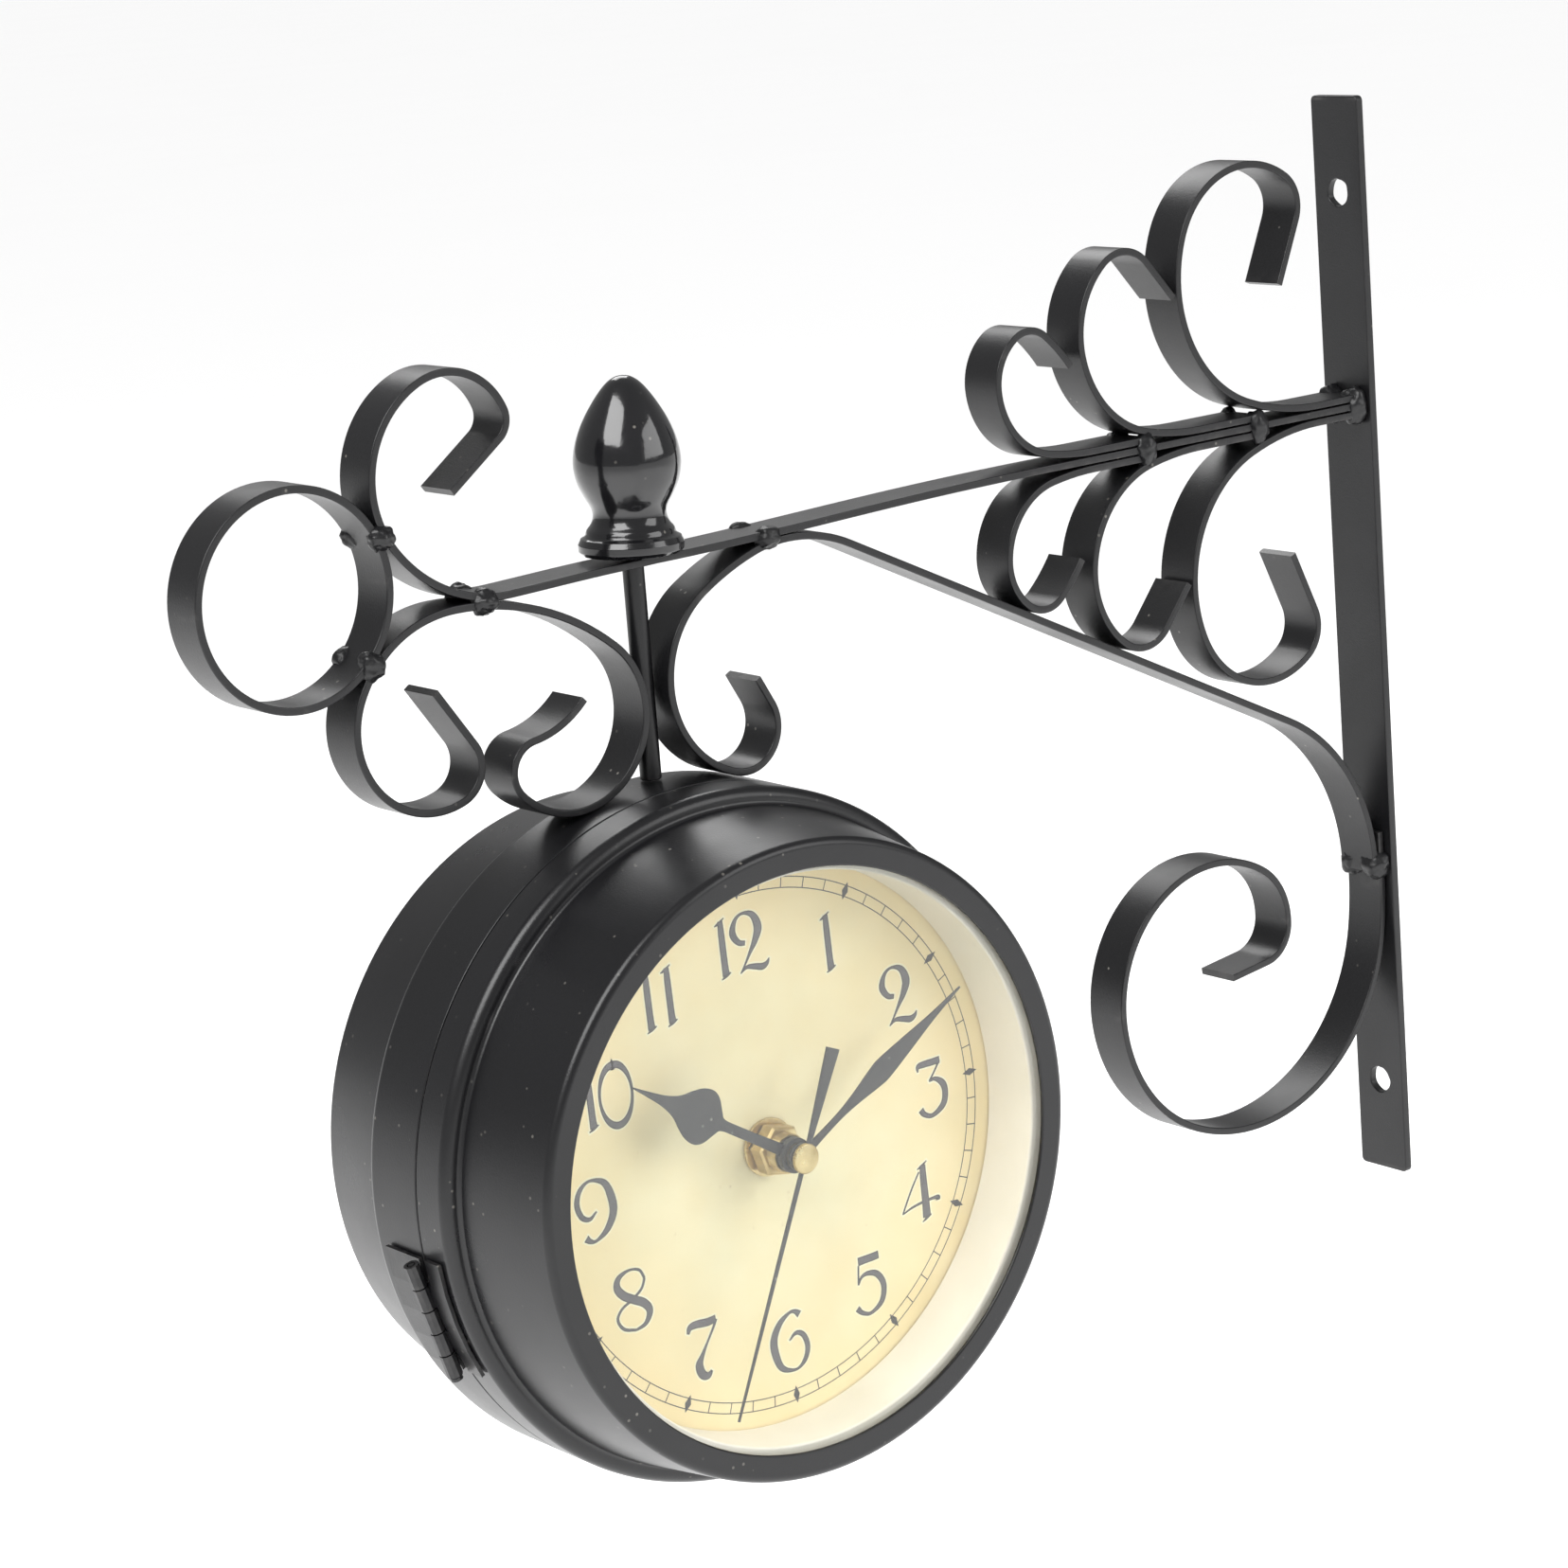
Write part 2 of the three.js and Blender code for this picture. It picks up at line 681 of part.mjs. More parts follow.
const ringOf = (inner, outer, back, front, segments) =>
  revolve(
    [
      [inner, -back],
      [outer, -back],
      [outer, -front],
      [inner, -front],
    ],
    segments,
  );
const discOf = (radius, back, front, segments) =>
  revolve(
    [
      [0, -back],
      [radius, -back],
      [radius, -front],
      [0, -front],
    ],
    segments,
  );

// White spacer: a flange behind the glass and a wall back to the dial.
function revealRing() {
  const outer = revealRadius + revealThick;
  const flangeRadius = innerRadiusAt(glassBack) - gap - 0.6;
  const flangeFront = glassBack - gap;
  return revolve(
    [
      [revealRadius, -flangeFront],
      [flangeRadius, -flangeFront],
      [flangeRadius, -(flangeFront - revealThick)],
      [outer, -(flangeFront - revealThick)],
      [outer, -(dialFace + gap)],
      [revealRadius, -(dialFace + gap)],
    ],
    segmentsRound,
  );
}

// Snap ring that holds the dial up against the spacer.
function dialClip() {
  const outer = innerRadiusAt(dialBack) - gap;
  const inner = outer - clipWidth;
  const opening = THREE.MathUtils.degToRad(clipOpening);
  const shape = new THREE.Shape();
  shape.absarc(0, 0, outer, opening, 2 * Math.PI - opening, false);
  shape.absarc(0, 0, inner, 2 * Math.PI - opening, opening, true);
  const geometry = new THREE.ExtrudeGeometry(shape, {
    depth: clipThick,
    bevelEnabled: false,
    curveSegments: 13,
  });
  geometry.rotateX(Math.PI / 2);
  geometry.translate(0, -(dialBack - gap - clipThick), 0);
  return toSolid(geometry);
}

const arborWell = 4; // depth of the hole in the movement's face
const batteryZ = -16.5;
const knobPlace = [-15, 14];
const coverStep = 0.8; // the back cover is this much smaller all round
const coverDepth = 5;
const hangerWidth = 11;
const hangerHeight = 6;
const hangerThick = 1.8;
const hangerHole = 1.9;

function roundedSquare(side, corner) {
  const c = side - corner;
  const shape = new THREE.Shape();
  shape.absarc(c, c, corner, 0, Math.PI / 2, false);
  shape.absarc(-c, c, corner, Math.PI / 2, Math.PI, false);
  shape.absarc(-c, -c, corner, Math.PI, Math.PI * 1.5, false);
  shape.absarc(c, -c, corner, Math.PI * 1.5, Math.PI * 2, false);
  return shape;
}

// Housing with its back cover, and the hanging tab over it.
function movementHousing() {
  const s = movementSize * half;
  const split = -(movementBack + coverDepth);
  const front = extrudeXZ(roundedSquare(s, movementCorner), -movementFront, split);
  const cover = roundedSquare(s - coverStep, movementCorner - coverStep);
  const back = extrudeXZ(cover, split - coverStep, -movementBack);
  const tab = box(
    [-hangerWidth * half, split - hangerThick, s - coverStep],
    [hangerWidth * half, split, s + hangerHeight],
  );
  const eyeZ = s + hangerHeight * half;
  const eye = cylinder("y", hangerHole, [0, 0, eyeZ], split - hangerThick - 1, split + 1, 12);
  return joined(front, back, cutBy(tab, eye));
}

function movementCase() {
  const well = cylinder(
    "y",
    bushRadius + gap,
    [0, 0, 0],
    -movementFront - 1,
    -movementFront + arborWell,
    20,
  );
  const bayHalf = batteryRadius + gap;
  const bayLength = batteryLength * half + 1.3;
  const bayFloor = -(movementBack + 2 * batteryRadius + gap);
  const bay = box(
    [-bayLength, bayFloor, batteryZ - bayHalf],
    [bayLength, -movementBack + 1, batteryZ + bayHalf],
  );
  const [kx, kz] = knobPlace;
  const knobHole = cylinder("y", 1.9, [kx, 0, kz], -movementBack - 5, -movementBack + 1, 12);
  const contact = cylinder(
    "x",
    2.6,
    [0, -(movementBack + batteryRadius + gap * half), batteryZ],
    -bayLength - half,
    -batteryLength * half - gap,
    12,
  );
  return joined(cutBy(movementHousing(), well, bay, knobHole), contact);
}

function battery() {
  const y = -(movementBack + batteryRadius + gap * half);
  const end = batteryLength * half;
  const can = cylinder("x", batteryRadius, [0, y, batteryZ], -end, end, 20);
  const nub = cylinder("x", 2.7, [0, y, batteryZ], end - half, end + 1, 12);
  return joined(can, nub);
}

function setKnob() {
  const [kx, kz] = knobPlace;
  const back = -movementBack;
  const disc = cylinder("y", knobRadius, [kx, 0, kz], back + gap, back + gap + 2.6, 14);
  const stem = cylinder("y", 1.5, [kx, 0, kz], back - 4.5, back + gap + 1, 12);
  return joined(disc, stem);
}

const tube = (outer, inner, back, front, segments = 12) =>
  ringOf(inner, outer, back, front, segments);

// The stack of hands on the arbors is set from the glass back, and the bush ends under it.
const hourCollar = 1.6;
const minuteCollar = 0.9;
const pipePastCollar = 0.7;
const capRadius = 3.1;
const capThick = 0.9;
const secondHandBack = glassBack - capToGlass - capThick;
const minuteArborFront = secondHandBack - gap;
const minuteHandBack = minuteArborFront - gap - minuteCollar;
const hourPipeFront = minuteHandBack - gap;
const hourHandBack = hourPipeFront - pipePastCollar - hourCollar;
const bushFront = hourHandBack - gap;
const bushBack = movementFront - arborWell + gap;
const washerBack = dialFace + gap;
const nutBack = washerBack + washerThick + gap;
const nutThick = (bushFront - nutBack) * nutShare;

function hexNut() {
  const corner = nutAcrossFlats * half / Math.cos(Math.PI / 6);
  const geometry = new THREE.CylinderGeometry(corner, corner, nutThick, 6);
  geometry.translate(0, -(nutBack + nutThick * half), 0);
  const bore = cylinder("y", bushRadius + gap, [0, 0, 0], -bushFront - 1, 0);
  return cutBy(toSolid(geometry), bore);
}

// Hand outlines run along +Z from the arbor. Each lists half of a symmetrical outline as
// [half width, share of the hand's reach].
function handOutline(reachOfHand, halfOutline) {
  const right = halfOutline.map(([w, share]) => new THREE.Vector2(w, share * reachOfHand));
  const left = right.map(({ x, y }) => new THREE.Vector2(-x, y)).reverse();
  return new THREE.Shape([...right, ...left]);
}

function turnHand(solid, degreesClockwise) {
  return solid.rotate([0, degreesClockwise - dialTilt, 0]);
}

const secondsAngle = timeShown.seconds * 6;
const minutesAngle = (timeShown.minutes + timeShown.seconds / 60) * 6;
const hoursAngle = timeShown.hours * 30 + minutesAngle / 12;

function hourHand() {
  const spade = handOutline(openingRadius - hourHandShort, [
    [1.3, 0.06],
    [1.15, 0.35],
    [1.2, 0.45],
    [2.2, 0.48],
    [4.6, 0.52],
    [5.6, 0.565],
    [5.3, 0.62],
    [4, 0.675],
    [2.2, 0.735],
    [1.1, 0.815],
    [0.5, 0.92],
    [0.15, 1],
  ]);
  const blade = extrudeXZ(spade, -(hourHandBack + hourCollar * half), -hourHandBack - 0.3);
  const collar = cylinder("y", 3.6, [0, 0, 0], -(hourHandBack + hourCollar), -hourHandBack, 18);
  const bore = cylinder("y", hourPipeRadius + gap, [0, 0, 0], -rimFace, 0, 14);
  return turnHand(cutBy(joined(collar, blade), bore), hoursAngle);
}

function minuteHand() {
  const lance = handOutline(openingRadius - minuteHandShort, [
    [0.9, 0.04],
    [0.8, 0.24],
    [1.3, 0.34],
    [2.4, 0.46],
    [2.5, 0.52],
    [1.7, 0.66],
    [0.8, 0.82],
    [0.15, 1],
  ]);
  const blade = extrudeXZ(lance, -(minuteHandBack + handThick + 0.2), -minuteHandBack - 0.2);
  const front = -(minuteHandBack + minuteCollar);
  const collar = cylinder("y", 2.9, [0, 0, 0], front, -minuteHandBack, 16);
  const bore = cylinder("y", minuteArborRadius + gap, [0, 0, 0], -rimFace, 0, 12);
  return turnHand(cutBy(joined(collar, blade), bore), minutesAngle);
}

function secondHand() {
  const needle = handOutline(openingRadius - secondHandShort, [
    [1.7, -0.42],
    [0.6, -0.05],
    [0.55, 0.05],
    [0.25, 1],
  ]);
  const blade = extrudeXZ(needle, -(secondHandBack + handThick), -secondHandBack);
  const cap = cylinder("y", capRadius, [0, 0, 0], -(secondHandBack + capThick), -secondHandBack);
  const pin = cylinder("y", secondPinRadius, [0, 0, 0], -secondHandBack - 0.1, -bushBack - gap, 10);
  return turnHand(joined(blade, cap, pin), secondsAngle);
}

// Everything that one face of the clock holds, in the order it goes in.
function buildSide(side, bandBack) {
  const face = new THREE.Group();
  face.position.set(headX, -headForward, headZ);
  face.rotation.z = side === "rear" ? Math.PI : 0;
  clock.add(face);
  const put = (name, solid, finish) => addPiece(side + "_" + name, solid, finish, face);

  put("case", caseShell(bandBack), "blackSteel");
  put("glass", discOf(glassRadius, glassBack, glassFront, segmentsRound), "glass");
  put("reveal_ring", revealRing(), "offWhite");
  const dialRadius = innerRadiusAt(dialFace) - gap;
  put("dial", ringOf(bushRadius + gap, dialRadius, dialBack, dialFace, segmentsHidden), "cream");
  put("dial_clip", dialClip(), "zinc");
  put("movement_case", movementCase(), "darkPlastic");
  put("battery", battery(), "batteryCan");
  put("set_knob", setKnob(), "darkPlastic");
  put("shaft_bush", tube(bushRadius, bushBore, bushBack, bushFront), "brass");
  put("dial_washer", tube(washerRadius, bushRadius + gap, washerBack, washerBack + washerThick), "brass");
  put("hex_nut", hexNut(), "brass");
  put("hour_pipe", tube(hourPipeRadius, hourPipeBore, bushBack, hourPipeFront), "whitePlastic");
  put("minute_arbor", tube(minuteArborRadius, minuteArborBore, bushBack, minuteArborFront), "brass");
  put("hour_hand", hourHand(), "handBlack");
  put("minute_hand", minuteHand(), "handBlack");
  put("second_hand", secondHand(), "handBlack");
  return face;
}
buildSide("front", seamFromMiddle + gap * half);
buildSide("rear", -seamFromMiddle + gap * half);

// ---------------------------------------------------------------- hinge of the front door
// Built about its own axis: X along the radius outwards, Y as on the clock, Z along the pin.
function buildHinge() {
  const hinge = new THREE.Group();
  const t = THREE.MathUtils.degToRad(hingeAngle);
  const axisRadius = caseRadius + gap + knuckleRadius;
  hinge.position.set(
    headX + axisRadius * Math.cos(t),
    -headForward - seamFromMiddle,
    headZ + axisRadius * Math.sin(t),
  );
  hinge.rotation.y = -t;
  clock.add(hinge);

  const end = hingeLength * half;
  const pitch = hingeLength / knuckleCount;
  const bore = cylinder("z", hingePinRadius + gap, [0, 0, 0], -hingeLength, hingeLength, 8);
  const leafRadius = caseRadius + gap + leafThick * half;
  const degreesAt = (z) => THREE.MathUtils.radToDeg(Math.asin(z / leafRadius));
  // Sheet that follows the case's curve, between two stations along the pin and two across it.
  const curvedSheet = (from, to, near, far, steps) => {
    const line = arcLine(-axisRadius, 0, leafRadius, degreesAt(from), degreesAt(to), steps);
    return stripSolid(line, leafThick, far - near).translate([0, (near + far) * half, 0]);
  };
  const leaf = (side, width, owned) => {
    const start = knuckleRadius + gap;
    const across = (near, far) => (side < 0 ? [-far, -near] : [near, far]);
    const knuckles = owned.map((index) => {
      const from = -end + index * pitch + (index === 0 ? 0 : gap * half);
      const last = index === knuckleCount - 1;
      const to = -end + (index + 1) * pitch - (last ? 0 : gap * half);
      const barrel = cylinder("z", knuckleRadius, [0, 0, 0], from, to, 10);
      return joined(barrel, curvedSheet(from, to, ...across(0, start + leafThick), 1));
    });
    return cutBy(joined(curvedSheet(-end, end, ...across(start, width), 4), ...knuckles), bore);
  };
  addPiece("hinge_leaf_fixed", leaf(1, fixedLeafWidth, [0, 2, 4]), "blackSteel", hinge);
  addPiece("hinge_leaf_door", leaf(-1, doorLeafWidth, [1, 3]), "blackSteel", hinge);
  const pin = cylinder("z", hingePinRadius, [0, 0, 0], -end, end + half, 10);
  const pinHead = cylinder("z", knuckleRadius * 0.8, [0, 0, 0], end + gap, end + 1, 12);
  addPiece("hinge_pin", joined(pin, pinHead), "blackSteel", hinge);
}
buildHinge();

// ---------------------------------------------------------------- magnetic catch of the door
// Inside the band, straight across from the hinge.
function buildCatch() {
  const group = new THREE.Group();
  group.position.set(headX, -headForward - seamFromMiddle, headZ);
  group.rotation.y = -THREE.MathUtils.degToRad(hingeAngle - 180);
  clock.add(group);
  const seat = Math.sqrt((caseRadius - sheet - gap) ** 2 - 49);
  const magnet = box([seat - 5, 1, -7], [seat, 8, 7]);
  const keeper = box([seat - 5, -2, -7], [seat, -1, 7]);
  addPiece("catch_magnet", magnet, "zinc", group);
  addPiece("catch_keeper", keeper, "zinc", group);
}
buildCatch();

export default clock;
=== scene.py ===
# Looks of the double sided station clock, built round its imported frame.
# Lengths are in millimetres until a mesh is made, and MM turns them into metres.
import json
import math

import bmesh
import bpy
from mathutils import Matrix, Vector, noise

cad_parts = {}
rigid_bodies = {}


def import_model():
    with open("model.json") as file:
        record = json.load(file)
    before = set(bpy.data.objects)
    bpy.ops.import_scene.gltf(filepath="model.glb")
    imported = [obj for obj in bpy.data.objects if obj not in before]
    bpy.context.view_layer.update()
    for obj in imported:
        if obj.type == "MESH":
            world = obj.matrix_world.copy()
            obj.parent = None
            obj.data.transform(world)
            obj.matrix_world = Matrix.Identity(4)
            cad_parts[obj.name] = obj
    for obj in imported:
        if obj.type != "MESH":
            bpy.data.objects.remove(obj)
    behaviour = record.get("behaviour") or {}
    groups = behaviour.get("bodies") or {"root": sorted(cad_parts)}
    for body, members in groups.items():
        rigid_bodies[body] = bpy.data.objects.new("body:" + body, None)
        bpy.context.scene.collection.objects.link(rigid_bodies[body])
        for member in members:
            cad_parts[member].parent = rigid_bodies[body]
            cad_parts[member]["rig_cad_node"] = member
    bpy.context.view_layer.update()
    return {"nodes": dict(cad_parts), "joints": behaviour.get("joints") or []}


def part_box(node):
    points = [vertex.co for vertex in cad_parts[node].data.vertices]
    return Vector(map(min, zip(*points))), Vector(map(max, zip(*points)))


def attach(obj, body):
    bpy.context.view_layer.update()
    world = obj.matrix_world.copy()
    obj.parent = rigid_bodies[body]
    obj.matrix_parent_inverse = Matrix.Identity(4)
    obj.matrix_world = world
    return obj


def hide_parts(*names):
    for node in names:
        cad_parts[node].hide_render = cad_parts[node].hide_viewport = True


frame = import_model()
MM = 0.001

# ---------------- sizes read from the frame
minute_joint = next(joint for joint in frame["joints"] if joint["name"] == "front_minute_turn")
HEAD = Vector(minute_joint["pos_m"]) / MM


def node_box(node):
    """Lowest and highest corner of a node, to a hundredth of a millimetre."""
    return [Vector([round(value / MM, 2) for value in corner]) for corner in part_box(node)]


def round_size(node):
    """Radius, back and front of a front piece that is round about the head's axis.

    Depths are forward of the head's middle plane, here and wherever a depth is named."""
    low, high = node_box(node)
    return (high.x - low.x) / 2, HEAD.y - high.y, HEAD.y - low.y


CASE_RADIUS, FRONT_SEAM, RIM_FACE = round_size("front_case")
REAR_SEAM = node_box("rear_case")[0].y - HEAD.y
GLASS_RADIUS, GLASS_BACK, GLASS_FRONT = round_size("front_glass")
REVEAL_FLANGE, REVEAL_BACK, REVEAL_FRONT = round_size("front_reveal_ring")
DIAL_RADIUS, DIAL_BACK, DIAL_FACE = round_size("front_dial")

STRIP_WIDTH, STRIP_THICK, STRIP_CORNER = 10.5, 1.6, 0.28
SHEET = 0.9
SHOULDER = 13.75
BEZEL_ROOT = CASE_RADIUS - 3.5
BEZEL_RIM = BEZEL_ROOT - 3.2
OPENING = BEZEL_RIM - 5.6
REVEAL_RADIUS = OPENING - 1.1
DIAL_TILT = 3.5
PRINT_TILT = 2.7
HOURS, MINUTES, SECONDS = 10, 10, 34.5

# ---------------- making meshes
WELD_DISTANCE = 0.002
SHARP_ANGLE = 32


def piece(name, points, faces, paint, body, replaces=(), sharp=SHARP_ANGLE, place=None):
    """A mesh piece from points in millimetres, which rides on a body and stands for CAD nodes."""
    mesh = bpy.data.meshes.new(name)
    spots = [Vector(point) for point in points]
    if place is not None:
        spots = [place @ spot for spot in spots]
    mesh.from_pydata([spot * MM for spot in spots], [], faces)
    work = bmesh.new()
    work.from_mesh(mesh)
    bmesh.ops.remove_doubles(work, verts=work.verts, dist=WELD_DISTANCE * MM)
    bmesh.ops.recalc_face_normals(work, faces=work.faces)
    work.to_mesh(mesh)
    work.free()
    mesh.shade_smooth()
    mesh.set_sharp_from_angle(angle=math.radians(sharp))
    mesh.materials.append(paint)
    made = bpy.data.objects.new(name, mesh)
    bpy.context.scene.collection.objects.link(made)
    shading = made.modifiers.new("flat faces shade flat", "WEIGHTED_NORMAL")
    shading.keep_sharp = True
    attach(made, body)
    if replaces:
        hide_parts(*replaces)


class Gathered:
    """Several forms that are gathered into one piece."""

    def __init__(self):
        self.points, self.faces = [], []

    def add(self, points, faces):
        start = len(self.points)
        self.points += [tuple(point) for point in points]
        self.faces += [tuple(index + start for index in face) for face in faces]


def fillet(corners, steps=6):
    """Turns corners (r, d) or (r, d, radius) of an open profile into a line with rounded corners."""
    nearly_straight = math.radians(88)
    line = []
    for i, corner in enumerate(corners):
        at = Vector(corner[:2])
        radius = corner[2] if len(corner) > 2 else 0
        if not radius or i in (0, len(corners) - 1):
            line.append(tuple(at))
            continue
        before = (Vector(corners[i - 1][:2]) - at).normalized()
        after = (Vector(corners[i + 1][:2]) - at).normalized()
        half = before.angle(after) / 2
        if half > nearly_straight:
            line.append(tuple(at))
            continue
        back = radius / math.tan(half)
        centre = at + (before + after).normalized() * radius / math.sin(half)
        start, end = at + before * back - centre, at + after * back - centre
        turn = start.angle_signed(end)
        for k in range(steps + 1):
            line.append(tuple(centre + Matrix.Rotation(-turn * k / steps, 2) @ start))
    return line


def side_faces(rings, count, closed_rings, closed_round):
    """Faces between rings of count points that follow each other."""
    faces = []
    for i in range(rings if closed_rings else rings - 1):
        near, far = i * count, (i + 1) % rings * count
        for k in range(count if closed_round else count - 1):
            after = (k + 1) % count
            faces.append((near + k, near + after, far + after, far + k))
    return faces


def end_faces(total, count):
    """The two faces that close a row of rings at its ends."""
    return [tuple(range(count)), tuple(range(total - count, total))]


def turned(profile, segments=128, closed=True):
    """A form turned about the Y axis from a profile of (radius, depth)."""
    points = []
    for s in range(segments):
        angle = 2 * math.pi * s / segments
        for radius, depth in profile:
            points.append((radius * math.cos(angle), -depth, radius * math.sin(angle)))
    return points, side_faces(segments, len(profile), True, closed)


def disc(radius, back, front, edge, segments):
    """A flat round piece with softened edges."""
    profile = [(0, front), (radius, front, edge), (radius, back, edge), (0, back)]
    return turned(fillet(profile, 3), segments, closed=False)


def flat_washer(inner, outer, back, front, edge, segments):
    """A flat ring with softened edges."""
    middle = (back + front) / 2
    profile = [
        (inner, middle),
        (inner, front, edge),
        (outer, front, edge),
        (outer, back, edge),
        (inner, back, edge),
        (inner, middle),
    ]
    return turned(fillet(profile, 3)[:-1], segments)


def rounded_box(width, height, corner, steps):
    """The outline of a rectangle with rounded corners, as pairs about its middle."""
    outline = []
    for quarter, (u, v) in enumerate(((1, 1), (-1, 1), (-1, -1), (1, -1))):
        for k in range(steps + 1):
            angle = math.pi / 2 * (quarter + k / steps)
            across = u * (width / 2 - corner) + corner * math.cos(angle)
            out = v * (height / 2 - corner) + corner * math.sin(angle)
            outline.append((across, out))
    return outline


def swept(line, section, closed=False):
    """A section carried along a line of (x, z, heading) in the bracket's plane."""
    points = []
    for x, z, heading in line:
        for across, out in section:
            points.append((x - out * math.sin(heading), across, z + out * math.cos(heading)))
    faces = side_faces(len(line), len(section), closed, True)
    if not closed:
        faces += end_faces(len(points), len(section))
    return points, faces


def inset_outline(outline, inset):
    """Moves each point of a closed outline inwards by inset."""
    if not inset:
        return list(outline)
    spots = [Vector(spot) for spot in outline]
    area = sum(a.x * b.y - b.x * a.y for a, b in zip(spots, spots[1:] + spots[:1]))
    side = 1 if area > 0 else -1
    least_lean = 0.45
    result = []
    for i, spot in enumerate(spots):
        ahead = (spots[(i + 1) % len(spots)] - spot).normalized()
        behind = (spot - spots[i - 1]).normalized()
        normal = Vector((-(ahead.y + behind.y), ahead.x + behind.x)).normalized() * side
        lean = max(least_lean, normal.dot(Vector((-ahead.y, ahead.x)) * side))
        result.append(tuple(spot + normal * inset / lean))
    return result


def stamped(outline, near, far, bevel):
    """A flat outline of (x, z), given thickness along Y from near to far, with a small bevel."""
    points = []
    for y, inset in ((near, bevel), (near + bevel, 0), (far - bevel, 0), (far, bevel)):
        points += [(x, y, z) for x, z in inset_outline(outline, inset)]
    count = len(outline)
    return points, side_faces(4, count, False, True) + end_faces(len(points), count)


def smooth_outline(points, steps):
    """A Catmull-Rom curve through open points."""
    spots = [Vector(point) for point in points]
    spots = [2 * spots[0] - spots[1]] + spots + [2 * spots[-1] - spots[-2]]
    line = []
    for a, b, c, d in zip(spots, spots[1:], spots[2:], spots[3:]):
        for k in range(steps):
            t = k / steps
            once = (c - a) * t
            twice = (2 * a - 5 * b + 4 * c - d) * t * t
            thrice = (3 * b - a - 3 * c + d) * t**3
            line.append(0.5 * (2 * b + once + twice + thrice))
    return line + [spots[-2]]


def drilled_plate(outline, holes, thick, bevel):
    """A flat piece with holes: outlines of (u, v) about the plane w = 0, with rounded rims."""
    curve = bpy.data.curves.new("outline", "CURVE")
    curve.dimensions = "2D"
    curve.fill_mode = "BOTH"
    curve.extrude = thick / 2 - bevel
    curve.bevel_depth = bevel
    curve.bevel_resolution = 2
    curve.offset = -bevel
    for loop in [outline] + holes:
        spline = curve.splines.new("POLY")
        spline.points.add(len(loop) - 1)
        for point, (u, v) in zip(spline.points, loop):
            point.co = (u, v, 0, 1)
        spline.use_cyclic_u = True
    shape = bpy.data.objects.new("outline", curve)
    mesh = bpy.data.meshes.new_from_object(shape)
    points = [tuple(vert.co) for vert in mesh.vertices]
    faces = [tuple(face.vertices) for face in mesh.polygons]
    bpy.data.objects.remove(shape)
    return points, faces


def drilled_hole(radius, height, segments=48, uneven=0.25):
    """The slightly uneven outline of a hole drilled at a height up the plate's middle."""
    spots = []
    for k in range(segments):
        angle = 2 * math.pi * k / segments
        here = Vector((2 * math.cos(angle), 2 * math.sin(angle), height))
        reach = radius + uneven * noise.noise(here)
        spots.append((reach * math.cos(angle), height + reach * math.sin(angle)))
    return spots


# ---------------- bent strips, read from the frame
CUT_HEIGHT = 0.5
LONGEST_STEP = 3.0
WIDEST_TURN = 3.0


def cut_outlines(node):
    """The closed outlines in which the plane y = CUT_HEIGHT cuts a node, as (x, z)."""
    work = bmesh.new()
    work.from_mesh(frame["nodes"][node].data)
    bmesh.ops.remove_doubles(work, verts=work.verts, dist=WELD_DISTANCE * MM)
    everything = work.verts[:] + work.edges[:] + work.faces[:]
    plane = {"plane_co": (0, CUT_HEIGHT * MM, 0), "plane_no": (0, 1, 0)}
    cut = bmesh.ops.bisect_plane(work, geom=everything, **plane)
    links = {}
    for edge in cut["geom_cut"]:
        if isinstance(edge, bmesh.types.BMEdge):
            for one, other in (edge.verts, reversed(edge.verts)):
                links.setdefault(one, []).append(other)
    outlines = []
    while links:
        first = next(iter(links))
        path, last, here = [first], None, first
        while True:
            onward = next((vert for vert in links.pop(here) if vert is not last), first)
            if onward is first:
                break
            path.append(onward)
            last, here = here, onward
        outlines.append([Vector((vert.co.x, vert.co.z)) / MM for vert in path])
    work.free()
    return outlines


def turning(outline, i):
    """Degrees by which a closed outline turns at a point."""
    ahead = outline[(i + 1) % len(outline)] - outline[i]
    behind = outline[i] - outline[i - 1]
    return math.degrees(abs(behind.angle(ahead)))


def middle_line(outline):
    """Stations (x, z, heading) along the middle of one outline of a cut strip."""
    same_spot, same_way, square_corner = 0.01, 0.2, 60
    outline = [spot for i, spot in enumerate(outline) if (outline[i - 1] - spot).length > same_spot]
    outline = [spot for i, spot in enumerate(outline) if turning(outline, i) > same_way]
    count = len(outline)
    square = [turning(outline, i) > square_corner for i in range(count)]
    start, finish = [i for i in range(count) if square[i] and square[(i + 1) % count]][:2]
    one = [outline[k % count] for k in range(start + 1, finish + 1)]
    other = [outline[k % count] for k in range(finish + 1, start + 1 + count)][::-1]
    line = []
    for a, b in zip(one, other):
        across = a - b
        middle = (a + b) / 2
        line.append((middle.x, middle.y, math.atan2(-across.x, across.y)))
    return line


def backwards(line):
    """The same stations from the far end."""
    return [(x, z, heading + math.pi) for x, z, heading in reversed(line)]


def facing_ahead(line):
    """The same stations, with headings that point along the line and not back."""
    facing = Vector((math.cos(line[0][2]), math.sin(line[0][2])))
    along = Vector((line[1][0] - line[0][0], line[1][1] - line[0][1]))
    if along.dot(facing) < 0:
        return [(x, z, heading + math.pi) for x, z, heading in line]
    return line


def stations(node):
    """A strip's middle line. The rod's hole cuts the arm in two, so its parts are joined again."""
    parts = [facing_ahead(middle_line(outline)) for outline in cut_outlines(node)]
    line = parts[0]
    for part in parts[1:]:
        choices = []
        for before in (line, backwards(line)):
            for after in (part, backwards(part)):
                choices.append((math.dist(before[-1][:2], after[0][:2]), before, after))
        _, before, after = min(choices, key=lambda choice: choice[0])
        line = before + after
    return line


